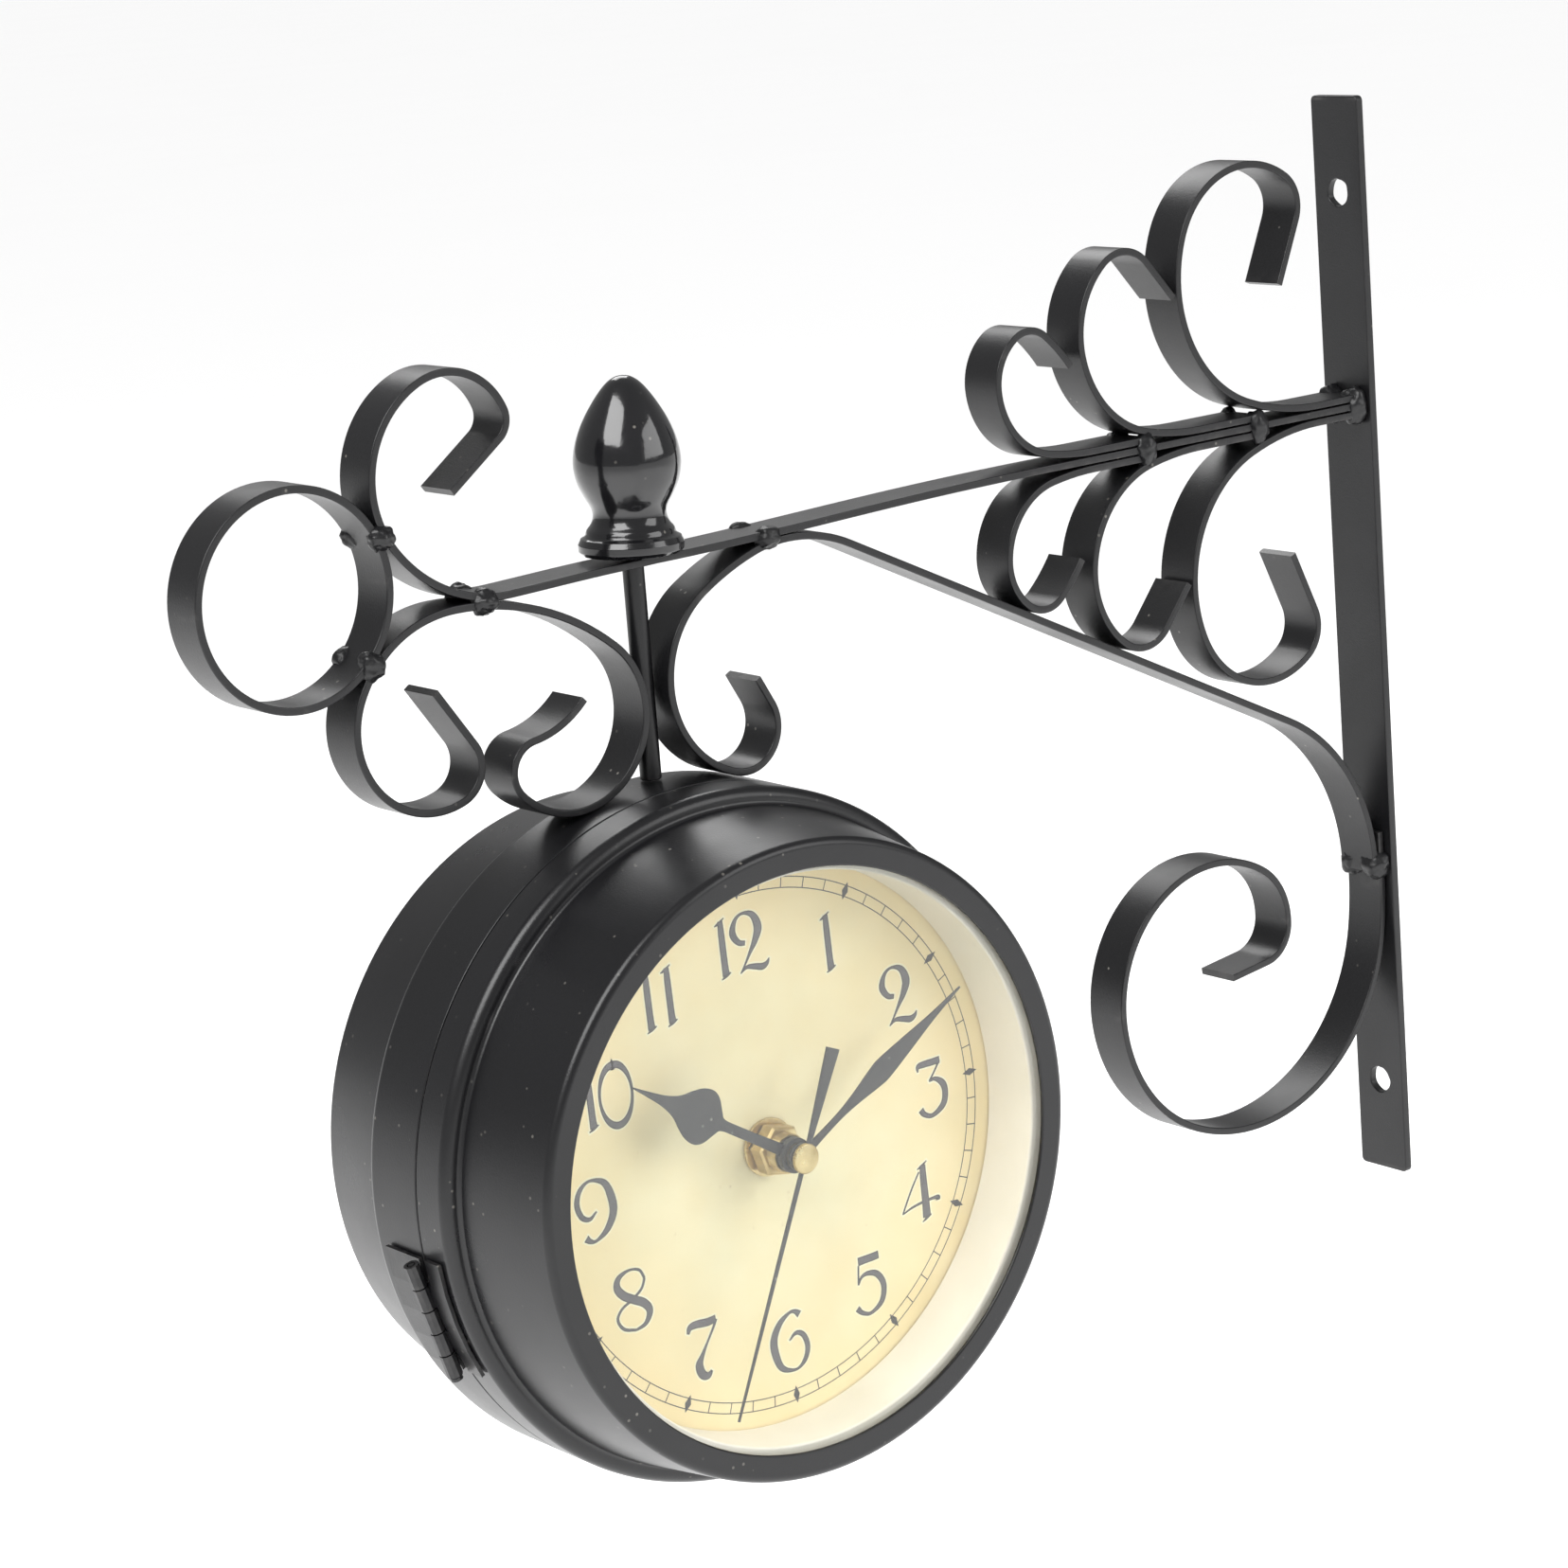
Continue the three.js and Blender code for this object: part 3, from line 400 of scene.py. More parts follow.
def eased(line):
    """A smooth line through the stations: arcs stay arcs, and straights stay straight."""
    smooth = []
    for (x0, z0, a0), (x1, z1, a1) in zip(line, line[1:]):
        turn = (a1 - a0 + math.pi) % (2 * math.pi) - math.pi
        start, end = Vector((x0, z0)), Vector((x1, z1))
        chord = (end - start).length
        reach = chord
        if abs(turn) > 1e-4:
            reach = 4 * math.tan(abs(turn) / 4) * chord / (2 * math.sin(abs(turn) / 2))
        out = Vector((math.cos(a0), math.sin(a0))) * reach
        into = Vector((math.cos(a1), math.sin(a1))) * reach
        by_turn = math.ceil(math.degrees(abs(turn)) / WIDEST_TURN)
        steps = max(1, by_turn, math.ceil(chord / LONGEST_STEP))
        for k in range(steps):
            t = k / steps
            from_start = start * (2 * t**3 - 3 * t**2 + 1) + out * (t**3 - 2 * t**2 + t)
            spot = from_start + end * (3 * t**2 - 2 * t**3) + into * (t**3 - t**2)
            smooth.append((spot.x, spot.y, a0 + turn * t))
    smooth.append((x1, z1, a0 + turn))
    return smooth


# ---------------- surface effects
def surface_effect(name, inputs, output):
    """An empty node group with its named sockets, and its two end nodes."""
    tree = bpy.data.node_groups.new(name, "ShaderNodeTree")
    for label, value in inputs.items():
        socket = tree.interface.new_socket(label, in_out="INPUT", socket_type="NodeSocketFloat")
        socket.default_value = value
    tree.interface.new_socket(output, in_out="OUTPUT", socket_type="NodeSocketFloat")
    return tree, tree.nodes.new("NodeGroupInput"), tree.nodes.new("NodeGroupOutput")


def feed(tree, socket, value):
    """Sets a socket to a constant, or links it to another node's output."""
    if isinstance(value, (int, float, tuple)):
        socket.default_value = value
    else:
        tree.links.new(value, socket)


def noise_texture(tree, scale, detail):
    """Noise that is fixed to the piece."""
    spot = tree.nodes.new("ShaderNodeTexCoord")
    texture = tree.nodes.new("ShaderNodeTexNoise")
    texture.inputs["Detail"].default_value = detail
    texture.inputs["Roughness"].default_value = 0.55
    tree.links.new(spot.outputs["Object"], texture.inputs["Vector"])
    feed(tree, texture.inputs["Scale"], scale)
    return texture.outputs["Fac"]


def spread(tree, value, low, high, to_low=0.0, to_high=1.0):
    """Spreads the part of a value between low and high over to_low to to_high."""
    node = tree.nodes.new("ShaderNodeMapRange")
    node.inputs["From Min"].default_value = low
    node.inputs["From Max"].default_value = high
    node.inputs["To Min"].default_value = to_low
    node.inputs["To Max"].default_value = to_high
    tree.links.new(value, node.inputs["Value"])
    return node.outputs["Result"]


def times(tree, one, other):
    """The product of two masks."""
    product = tree.nodes.new("ShaderNodeMath")
    product.operation = "MULTIPLY"
    feed(tree, product.inputs[0], one)
    feed(tree, product.inputs[1], other)
    return product.outputs[0]


def make_patches():
    """Broad cloudy change over a surface, as of handling and of weather."""
    tree, given, result = surface_effect("cloudy patches", {"Scale": 30.0}, "Mask")
    mask = spread(tree, noise_texture(tree, given.outputs["Scale"], 4.0), 0.32, 0.68)
    tree.links.new(mask, result.inputs["Mask"])
    return tree


def make_grain():
    """The fine orange-peel of a sprayed coat, or the grain of paper and plastic."""
    tree, given, result = surface_effect("fine grain", {"Scale": 1500.0}, "Height")
    height = noise_texture(tree, given.outputs["Scale"], 2.0)
    tree.links.new(height, result.inputs["Height"])
    return tree


def make_specks():
    """Scattered specks of dust, thicker in some places than in others."""
    tree, given, result = surface_effect("dust specks", {"Scale": 420.0, "Amount": 0.5}, "Mask")
    spot = tree.nodes.new("ShaderNodeTexCoord")
    cells = tree.nodes.new("ShaderNodeTexVoronoi")
    tree.links.new(spot.outputs["Object"], cells.inputs["Vector"])
    tree.links.new(given.outputs["Scale"], cells.inputs["Scale"])
    dots = spread(tree, cells.outputs["Distance"], 0.16, 0.1)
    chance = tree.nodes.new("ShaderNodeSeparateColor")
    tree.links.new(cells.outputs["Color"], chance.inputs["Color"])
    chosen = spread(tree, chance.outputs["Red"], 0.72, 0.78)
    clustered = spread(tree, noise_texture(tree, 45.0, 3.0), 0.45, 0.65)
    amount = times(tree, clustered, given.outputs["Amount"])
    mask = times(tree, times(tree, dots, chosen), amount)
    tree.links.new(mask, result.inputs["Mask"])
    return tree


def make_worn_edges():
    """Edges rubbed bright or pale, broken up so that no edge is even."""
    tree, given, result = surface_effect("worn edges", {"Amount": 0.5}, "Mask")
    shape = tree.nodes.new("ShaderNodeNewGeometry")
    edges = spread(tree, shape.outputs["Pointiness"], 0.53, 0.62)
    broken = spread(tree, noise_texture(tree, 260.0, 3.0), 0.4, 0.7)
    mask = times(tree, times(tree, edges, broken), given.outputs["Amount"])
    tree.links.new(mask, result.inputs["Mask"])
    return tree


PATCHES = make_patches()
GRAIN = make_grain()
SPECKS = make_specks()
WORN_EDGES = make_worn_edges()


# ---------------- finishes
def tone(red, green, blue):
    """A colour as it is seen, 0 to 255, for a colour socket."""
    seen = [value / 255 for value in (red, green, blue)]
    plain = [value / 12.92 if value <= 0.04045 else ((value + 0.055) / 1.055) ** 2.4 for value in seen]
    return (*plain, 1.0)


def place_effect(tree, group, **settings):
    """A surface effect placed in a material with its own values."""
    node = tree.nodes.new("ShaderNodeGroup")
    node.node_tree = group
    for label, value in settings.items():
        node.inputs[label].default_value = value
    return node.outputs[0]


def blend_colour(tree, mask, base, over):
    """One colour laid over another through a mask."""
    mix = tree.nodes.new("ShaderNodeMix")
    mix.data_type = "RGBA"
    tree.links.new(mask, mix.inputs["Factor"])
    base_socket, over_socket = mix.inputs[6], mix.inputs[7]
    feed(tree, base_socket, base)
    feed(tree, over_socket, over)
    return mix.outputs[2]


def add_relief(tree, scale, depth):
    """Fine grain that tilts the surface, depth in metres."""
    relief = tree.nodes.new("ShaderNodeBump")
    relief.inputs["Distance"].default_value = depth
    tree.links.new(place_effect(tree, GRAIN, Scale=scale), relief.inputs["Height"])
    tree.links.new(relief.outputs["Normal"], tree.nodes["Principled BSDF"].inputs["Normal"])


def finish(name, slot, colour, shade, rough, metallic=0.0, patches=30.0, grain=1500.0, relief=0.00002,
           worn=None, wear=0.5, dust=0.0, dust_colour=(150, 146, 138), coat=0.0):
    """A surface: its colour drifts to shade in patches, with worn edges, dust, uneven gloss and grain."""
    material = bpy.data.materials.new(name)
    material.use_nodes = True
    tree = material.node_tree
    shader = tree.nodes["Principled BSDF"]
    mask = place_effect(tree, PATCHES, Scale=patches)
    tint = blend_colour(tree, mask, tone(*colour), tone(*shade))
    if worn:
        tint = blend_colour(tree, place_effect(tree, WORN_EDGES, Amount=wear), tint, tone(*worn))
    if dust:
        tint = blend_colour(tree, place_effect(tree, SPECKS, Amount=dust), tint, tone(*dust_colour))
    tree.links.new(tint, shader.inputs["Base Color"])
    tree.links.new(spread(tree, mask, 0, 1, rough[0], rough[1]), shader.inputs["Roughness"])
    shader.inputs["Metallic"].default_value = metallic
    shader.inputs["Coat Weight"].default_value = coat
    shader.inputs["Coat Roughness"].default_value = 0.06
    add_relief(tree, grain, relief)
    return material


STEEL = finish("satin black coat", "black_steel", (20, 20, 22), (15, 15, 17), (0.3, 0.42),
               grain=2600.0, relief=0.000035, worn=(84, 82, 80), wear=0.3, dust=0.5)
CASE_COAT = finish("satin black case", "black_steel", (20, 20, 22), (15, 15, 17), (0.26, 0.36),
                   grain=2400.0, worn=(86, 84, 84), wear=0.2, dust=0.45)
GLOSS = finish("gloss black enamel", "gloss_black", (20, 20, 22), (14, 14, 16), (0.1, 0.2),
               patches=60.0, grain=420.0, relief=0.00005, dust=0.4, coat=0.6)
REVEAL = finish("off-white card", "off_white", (240, 235, 224), (228, 222, 208), (0.55, 0.65),
                grain=1800.0, dust=0.2, dust_colour=(150, 140, 120))
HAND_PAINT = finish("black hand paint", "hand_black", (44, 44, 46), (34, 34, 36), (0.4, 0.5),
                    grain=2200.0, worn=(120, 118, 116), wear=0.3, dust=0.4, dust_colour=(170, 166, 158))
BRASS = finish("dull brass", "brass", (216, 196, 146), (178, 154, 104), (0.26, 0.42),
               metallic=1.0, patches=220.0, grain=3000.0, worn=(228, 200, 140), wear=0.6)
ZINC = finish("zinc plate", "zinc", (190, 192, 196), (150, 152, 158), (0.28, 0.42),
              metallic=1.0, patches=160.0, grain=2400.0, worn=(225, 226, 230), wear=0.5)
DARK_PLASTIC = finish("dark plastic", "dark_plastic", (34, 34, 36), (26, 26, 28), (0.42, 0.55),
                      grain=2600.0, relief=0.00004, worn=(72, 72, 74), wear=0.35, dust=0.3)
WHITE_PLASTIC = finish("white plastic", "white_plastic", (232, 230, 224), (220, 216, 206), (0.35, 0.5),
                       grain=2200.0, dust=0.2)
BATTERY_SKIN = finish("battery sleeve", "battery_can", (58, 62, 70), (46, 50, 58), (0.22, 0.32),
                      patches=90.0, grain=1600.0, worn=(150, 150, 152), wear=0.4, dust=0.2)
PRINT_DARK = finish("print outline", "hand_black", (44, 42, 44), (54, 52, 53), (0.55, 0.65), patches=400.0)
PRINT_GREY = finish("print grey", "hand_black", (98, 95, 99), (86, 83, 87), (0.5, 0.6), patches=240.0)
PRINT_HALO = finish("print halo", "dial_cream", (250, 243, 212), (246, 236, 196), (0.5, 0.6), patches=120.0)
FLOOR_PAINT = finish("pale floor", "off_white", (254, 254, 254), (252, 252, 252), (0.7, 0.8),
                     patches=3.0, grain=200.0)


def dial_paper():
    """Cream lacquered paper, yellower to its edge, with age mottling."""
    material = finish("aged dial", "dial_cream", (250, 240, 200), (245, 230, 184), (0.45, 0.58),
                      patches=55.0, grain=1400.0, dust=0.25, dust_colour=(188, 160, 108))
    tree = material.node_tree
    base_colour = tree.nodes["Principled BSDF"].inputs["Base Color"]
    spot = tree.nodes.new("ShaderNodeTexCoord")
    span = tree.nodes.new("ShaderNodeVectorMath")
    span.operation = "DISTANCE"
    span.inputs[1].default_value = HEAD * MM
    tree.links.new(spot.outputs["Object"], span.inputs[0])
    still_fresh, fully_aged = 30, 66
    edge = spread(tree, span.outputs["Value"], still_fresh * MM, fully_aged * MM)
    uneven = spread(tree, place_effect(tree, PATCHES, Scale=75.0), 0, 1, 0.55, 1.0)
    fresh = base_colour.links[0].from_socket
    aged = blend_colour(tree, times(tree, edge, uneven), fresh, tone(246, 224, 168))
    tree.links.new(aged, base_colour)
    return material


def clear_glass():
    """Clear sheet glass that lets lamp light through, with a faint film of dust."""
    material = bpy.data.materials.new("dusty clear glass")
    material.use_nodes = True
    tree = material.node_tree
    shader = tree.nodes["Principled BSDF"]
    shader.inputs["Transmission Weight"].default_value = 1.0
    shader.inputs["IOR"].default_value = 1.5
    film = place_effect(tree, PATCHES, Scale=38.0)
    tint = blend_colour(tree, film, tone(252, 253, 252), tone(244, 247, 245))
    tree.links.new(spread(tree, film, 0, 1, 0.0, 0.05), shader.inputs["Roughness"])
    tree.links.new(tint, shader.inputs["Base Color"])
    add_relief(tree, 60.0, 0.000004)
    clear = tree.nodes.new("ShaderNodeBsdfTransparent")
    ray = tree.nodes.new("ShaderNodeLightPath")
    choice = tree.nodes.new("ShaderNodeMixShader")
    tree.links.new(ray.outputs["Is Shadow Ray"], choice.inputs[0])
    tree.links.new(shader.outputs[0], choice.inputs[1])
    tree.links.new(clear.outputs[0], choice.inputs[2])
    tree.links.new(choice.outputs[0], tree.nodes["Material Output"].inputs["Surface"])
    return material


DIAL_PAPER = dial_paper()
GLASS = clear_glass()

# ---------------- the bracket's strips
STRIPS = ["arm_bar", "double_scroll", "brace_bar", "wall_spiral"]
STRIPS += [f"{side}_scroll_{size}" for side in ("upper", "lower") for size in ("large", "medium", "small")]
STRIP_SECTION = rounded_box(STRIP_WIDTH, STRIP_THICK, STRIP_CORNER, 3)


def bent_strips():
    for strip in STRIPS:
        points, faces = swept(eased(stations(strip)), STRIP_SECTION)
        piece(f"{strip}_bent", points, faces, STEEL, "bracket", [strip])


def end_ring(segments=120):
    """The closed ring at the tip of the arm."""
    low, high = node_box("end_ring")
    centre = (low + high) / 2
    middle_radius = (high.x - low.x - STRIP_THICK) / 2
    line = []
    for k in range(segments):
        angle = 2 * math.pi * k / segments
        x = centre.x + middle_radius * math.cos(angle)
        z = centre.z + middle_radius * math.sin(angle)
        line.append((x, z, angle + math.pi / 2))
    points, faces = swept(line, STRIP_SECTION, closed=True)
    piece("end_ring_bent", points, faces, STEEL, "bracket", ["end_ring"])


# ---------------- the wall plate
PLATE_THICK, PLATE_CORNER, PLATE_EDGE = 2.0, 1.2, 0.3
HOLE_RADIUS, HOLE_HEIGHT = 3.0, 103.5


def wall_plate():
    low, high = node_box("wall_plate")
    outline = rounded_box(high.y - low.y, high.z - low.z, PLATE_CORNER, 5)
    holes = [drilled_hole(HOLE_RADIUS, side * HOLE_HEIGHT) for side in (1, -1)]
    points, faces = drilled_plate(outline, holes, PLATE_THICK, PLATE_EDGE)
    points = [(w - PLATE_THICK / 2, u, v) for u, v, w in points]
    piece("wall_plate_drilled", points, faces, STEEL, "bracket", ["wall_plate"])


# ---------------- welds
BEAD_RADIUS, BEAD_PROUD, BEAD_WIDE, BEAD_DEEP = 2.9, 1.8, 0.95, 0.9
# Each weld on the strips: x, z and how tall the bead is beside its radius.
WELDS = {
    "arm end to ring": (-263.4, 68.6, 0.9),
    "arm to double scroll": (-241.3, 52.5, 0.95),
    "ring to double scroll": (-268.1, 44.7, 1.05),
    "arm to brace": (-172.0, 53.7, 0.85),
    "small scrolls to arm": (-68.0, 56.0, 1.3),
    "medium scrolls to arm": (-34.5, 56.0, 1.3),
}
PLATE_BEAD_RADIUS, PLATE_BEAD_WIDE, PLATE_BEAD_OUT, PLATE_BEAD_ASIDE = 3.6, 0.85, 1.5, 3.5
# Each weld on the plate: z and how tall the bead is.
PLATE_WELDS = {"arm to plate": (56.0, 1.2), "brace to plate": (-50.5, 1.0)}


def weld_bead(spot, radius, stretch):
    """A lumpy weld bead with ripples."""
    broad_lump, small_lump, ripple_height, ripple_count = 0.2, 0.07, 0.03, 11
    work = bmesh.new()
    bmesh.ops.create_icosphere(work, subdivisions=4, radius=1.0)
    seed = Vector(spot) * 0.37
    for vert in work.verts:
        normal = vert.co.copy()
        lumps = broad_lump * noise.noise(normal * 1.3 + seed) + small_lump * noise.noise(normal * 4.1 + seed)
        wander = 6 * noise.noise(normal + seed)
        ripple = ripple_height * math.sin(ripple_count * normal.z + wander)
        vert.co = normal * (1 + lumps + ripple)
    points = [[spot[i] + vert.co[i] * radius * stretch[i] for i in range(3)] for vert in work.verts]
    faces = [tuple(vert.index for vert in face.verts) for face in work.faces]
    work.free()
    return points, faces


def weld_beads():
    """Two beads at each weld, on the strips' front and back edges."""
    beads = Gathered()
    aside = STRIP_WIDTH / 2 + BEAD_PROUD - BEAD_RADIUS * BEAD_DEEP
    for x, z, tall in WELDS.values():
        for side in (1, -1):
            beads.add(*weld_bead((x, side * aside, z), BEAD_RADIUS, (BEAD_WIDE, BEAD_DEEP, tall)))
    for z, tall in PLATE_WELDS.values():
        for side in (1, -1):
            spot = (-PLATE_THICK - PLATE_BEAD_OUT, side * PLATE_BEAD_ASIDE, z)
            beads.add(*weld_bead(spot, PLATE_BEAD_RADIUS, (PLATE_BEAD_WIDE, BEAD_DEEP, tall)))
    piece("weld_beads", beads.points, beads.faces, STEEL, "bracket", sharp=70)


# ---------------- rod and finial
UPRIGHT = Matrix.Rotation(math.radians(-90), 4, "X")
ROD_EDGE = 0.3
FINIAL_LEAN = 2.2
FLANGE_CORNER = 0.4
FINIAL_FLANGE = [(0, 0), (9.8, 0), (10.6, 0.8), (10.65, 2.2)]
FINIAL_BUD = [
    (10.1, 3.3), (9.2, 3.9), (8.8, 5), (7.9, 6.2), (7.4, 7.8), (7.7, 9.4), (8.9, 11.6), (10.1, 14.2),
    (10.7, 17), (10.7, 19.6), (10.1, 22.6), (8.9, 25.8), (7.3, 28.8), (5.3, 31.8), (3.4, 34),
    (1.6, 35.2), (0, 35.5),
]
# A run of paint down the bud: where it is round the axis, how wide, how proud, and its two ends.
RUN_TURN, RUN_WIDE, RUN_PROUD, RUN_TOP, RUN_FOOT = -2.0, 0.16, 0.035, 26, 9
RUN_FADE_TOP, RUN_FADE_FOOT = 6, 1.5


def hanger_rod():
    low, high = node_box("hanger_rod")
    radius = (high.x - low.x) / 2
    profile = [(0, low.z), (radius, low.z, ROD_EDGE), (radius, high.z, ROD_EDGE), (0, high.z)]
    points, faces = turned(fillet(profile), 48, closed=False)
    place = Matrix.Translation((HEAD.x, 0, 0)) @ UPRIGHT
    piece("hanger_rod_turned", points, faces, STEEL, "bracket", ["hanger_rod"], place=place)


def paint_run(point):
    """Swells a point of the bud where the run of paint lies."""
    x, y, z = point
    height, turn = -y, math.atan2(z, x)
    off = (turn - RUN_TURN + math.pi) % (2 * math.pi) - math.pi
    below_top = min(1, max(0, (RUN_TOP - height) / RUN_FADE_TOP))
    above_foot = min(1, max(0, (height - RUN_FOOT) / RUN_FADE_FOOT))
    swell = 1 + RUN_PROUD * math.exp(-((off / RUN_WIDE) ** 2)) * below_top * above_foot
    return x * swell, y, z * swell


def finial():
    """The turned bud on top of the rod, with its flange."""
    bud = FINIAL_FLANGE + [(max(0, spot.x), spot.y) for spot in smooth_outline(FINIAL_BUD, 4)]
    flange_end = len(FINIAL_FLANGE)
    corners = [(r, h, FLANGE_CORNER if 0 < i <= flange_end else 0) for i, (r, h) in enumerate(bud)]
    points, faces = turned(fillet(corners), 96, closed=False)
    points = [paint_run(point) for point in points]
    foot = Matrix.Translation((HEAD.x, 0, node_box("finial")[0].z))
    place = foot @ Matrix.Rotation(math.radians(FINIAL_LEAN), 4, "Y") @ UPRIGHT
    piece("finial_turned", points, faces, GLOSS, "bracket", ["finial"], sharp=50, place=place)


# ---------------- the two halves of the case
TURN_ROUND = Matrix.Rotation(math.pi, 4, "Z")
PLACE = {"front": Matrix.Translation(HEAD), "rear": Matrix.Translation(HEAD) @ TURN_ROUND}
BODY = {"front": "door", "rear": "bracket"}
SEAM = {"front": FRONT_SEAM, "rear": REAR_SEAM}
SEAM_EDGE, SHOULDER_CORNER, BEZEL_FOOT, RIM_CORNER, LIP_EDGE = 0.3, 2.3, 1.0, 1.7, 0.4
LIP_INSIDE, RIM_INSIDE, SHOULDER_INSIDE = 0.3, 0.8, 1.4


def case_half(side):
    """A spun steel shell: band, shoulder, tapered bezel, rolled rim and the lip about the opening."""
    seam = SEAM[side]
    inner_radius = CASE_RADIUS - SHEET
    inner_face = RIM_FACE - SHEET
    inner_shoulder = SHOULDER - SHEET
    seam_middle = (CASE_RADIUS - SHEET / 2, seam)
    profile = [
        seam_middle,
        (CASE_RADIUS, seam, SEAM_EDGE),
        (CASE_RADIUS, SHOULDER, SHOULDER_CORNER),
        (BEZEL_ROOT, SHOULDER, BEZEL_FOOT),
        (BEZEL_RIM, RIM_FACE, RIM_CORNER),
        (OPENING, RIM_FACE, LIP_EDGE),
        (OPENING, inner_face, LIP_INSIDE),
        (BEZEL_RIM - SHEET, inner_face, RIM_INSIDE),
        (BEZEL_ROOT - SHEET, inner_shoulder, BEZEL_FOOT),
        (inner_radius, inner_shoulder, SHOULDER_INSIDE),
        (inner_radius, seam, SEAM_EDGE),
        seam_middle,
    ]
    points, faces = turned(fillet(profile, 8)[:-1], 192)
    piece(f"{side}_case_spun", points, faces, CASE_COAT, BODY[side], [f"{side}_case"], place=PLACE[side])


# ---------------- glass, spacer and dial sheet
DIAL_HOLE = 4.3
REVEAL_WALL, REVEAL_LIP, REVEAL_START = 1.2, 1.0, 28


def glass_disc(side):
    points, faces = disc(GLASS_RADIUS, GLASS_BACK, GLASS_FRONT, 0.2, 160)
    piece(f"{side}_glass_disc", points, faces, GLASS, BODY[side], [f"{side}_glass"], place=PLACE[side])


def reveal_card(side):
    """The off-white spacer between the glass and the dial, with a flange under the glass."""
    outer = REVEAL_RADIUS + REVEAL_WALL
    under = REVEAL_FRONT - REVEAL_LIP
    profile = [
        (REVEAL_RADIUS, REVEAL_START),
        (REVEAL_RADIUS, REVEAL_FRONT, 0.5),
        (REVEAL_FLANGE, REVEAL_FRONT, 0.2),
        (REVEAL_FLANGE, under, 0.2),
        (outer, under, 0.6),
        (outer, REVEAL_BACK, 0.2),
        (REVEAL_RADIUS, REVEAL_BACK, 0.2),
        (REVEAL_RADIUS, REVEAL_START),
    ]
    points, faces = turned(fillet(profile, 4)[:-1], 160)
    piece(f"{side}_reveal_card", points, faces, REVEAL, BODY[side], [f"{side}_reveal_ring"], place=PLACE[side])


def dial_sheet(side):
    points, faces = flat_washer(DIAL_HOLE, DIAL_RADIUS, DIAL_BACK, DIAL_FACE, 0.15, 160)
    piece(f"{side}_dial_sheet", points, faces, DIAL_PAPER, BODY[side], [f"{side}_dial"], place=PLACE[side])


# ---------------- the printed dial
# Each numeral is drawn as brush strokes: points (x, y, half width) from its middle.
ONE = [
    [(-0.25, 6.2, 0.62), (-0.3, 3, 0.78), (-0.3, -3, 0.8), (-0.22, -5.1, 0.92)],
    [(-1.75, 5.4, 0.1), (-0.8, 5.75, 0.3), (0.75, 6.6, 0.12)],
    [(-1.4, -5.65, 0.12), (-0.2, -5.15, 0.32), (1.0, -4.7, 0.12)],
]
TWO = [
    [(0.1, 0.2, 0.5), (-1.5, 0.75, 0.62), (-2.7, 2.9, 0.8), (-1.7, 5.4, 0.45), (0.2, 6.3, 0.3),
     (2.6, 5.4, 0.7), (3.6, 2.7, 1.0), (2.6, 0.2, 0.75), (1.0, -2.0, 0.4), (-0.6, -4.2, 0.22),
     (-1.8, -5.65, 0.15)],
    [(-1.8, -5.6, 0.12), (-0.2, -4.75, 0.4), (1.8, -5.1, 0.62), (3.6, -5.6, 0.7), (4.8, -5.2, 0.5),
     (5.5, -4.3, 0.12)],
]
THREE = [
    [(-1.5, 3.7, 0.12), (-1.2, 4.9, 0.6), (0.6, 5.0, 0.72), (2.6, 4.9, 0.75), (4.5, 4.9, 0.75)],
    [(4.4, 4.8, 0.3), (3.0, 3.0, 0.22), (1.3, 1.1, 0.25)],
    [(1.2, 1.1, 0.25), (2.8, 1.2, 0.45), (4.6, -0.2, 0.75), (5.1, -2.3, 0.78), (4.2, -4.8, 0.75),
     (1.25, -6.3, 0.5), (-0.9, -5.5, 0.6), (-1.7, -4.3, 0.75)],
]
FOUR = [
    [(2.0, 5.2, 0.7), (1.8, 3, 0.85), (1.75, -3, 0.95), (1.65, -6.1, 1.05)],
    [(0.4, 4.6, 0.1), (1.6, 5.0, 0.3), (3.1, 5.8, 0.12)],
    [(0.4, -6.85, 0.1), (1.6, -6.3, 0.3), (2.9, -5.8, 0.12)],
    [(0.8, 4.0, 0.2), (-1.5, 1.0, 0.22), (-3.4, -1.9, 0.22), (-4.5, -3.7, 0.2)],
    [(-4.55, -3.7, 0.15), (-2.0, -3.0, 0.25), (1.0, -2.65, 0.3), (3.6, -2.6, 0.32), (5.1, -2.8, 0.5),
     (5.2, -3.4, 0.3)],
]
FIVE = [
    [(-1.9, 5.5, 0.9), (0, 5.5, 0.85), (2.0, 5.45, 0.85), (3.5, 5.5, 0.85)],
    [(-1.9, 4.7, 0.22), (-2.2, 2.6, 0.22), (-2.4, 0.6, 0.25)],
    [(-2.4, 0.7, 0.2), (-1.5, 2.0, 0.35), (0.2, 2.4, 0.5), (2.6, 1.5, 0.7), (4.0, -1.3, 0.72),
     (3.0, -4.6, 0.65), (0, -6.2, 0.4), (-2.2, -5.5, 0.5), (-3.4, -4.2, 0.7)],
]
SIX = [
    [(2.6, 5.2, 0.8), (1.6, 6.1, 0.5), (0.2, 6.3, 0.35), (-2.4, 4.9, 0.7), (-4.3, 2.2, 0.9),
     (-4.5, -0.8, 0.95), (-3.2, -4.6, 0.7), (0.2, -6.0, 0.3), (2.7, -4.7, 0.55), (3.75, -2.1, 0.65),
     (3.0, 0.6, 0.6), (1.2, 1.6, 0.45), (-0.6, 0.5, 0.2)],
]
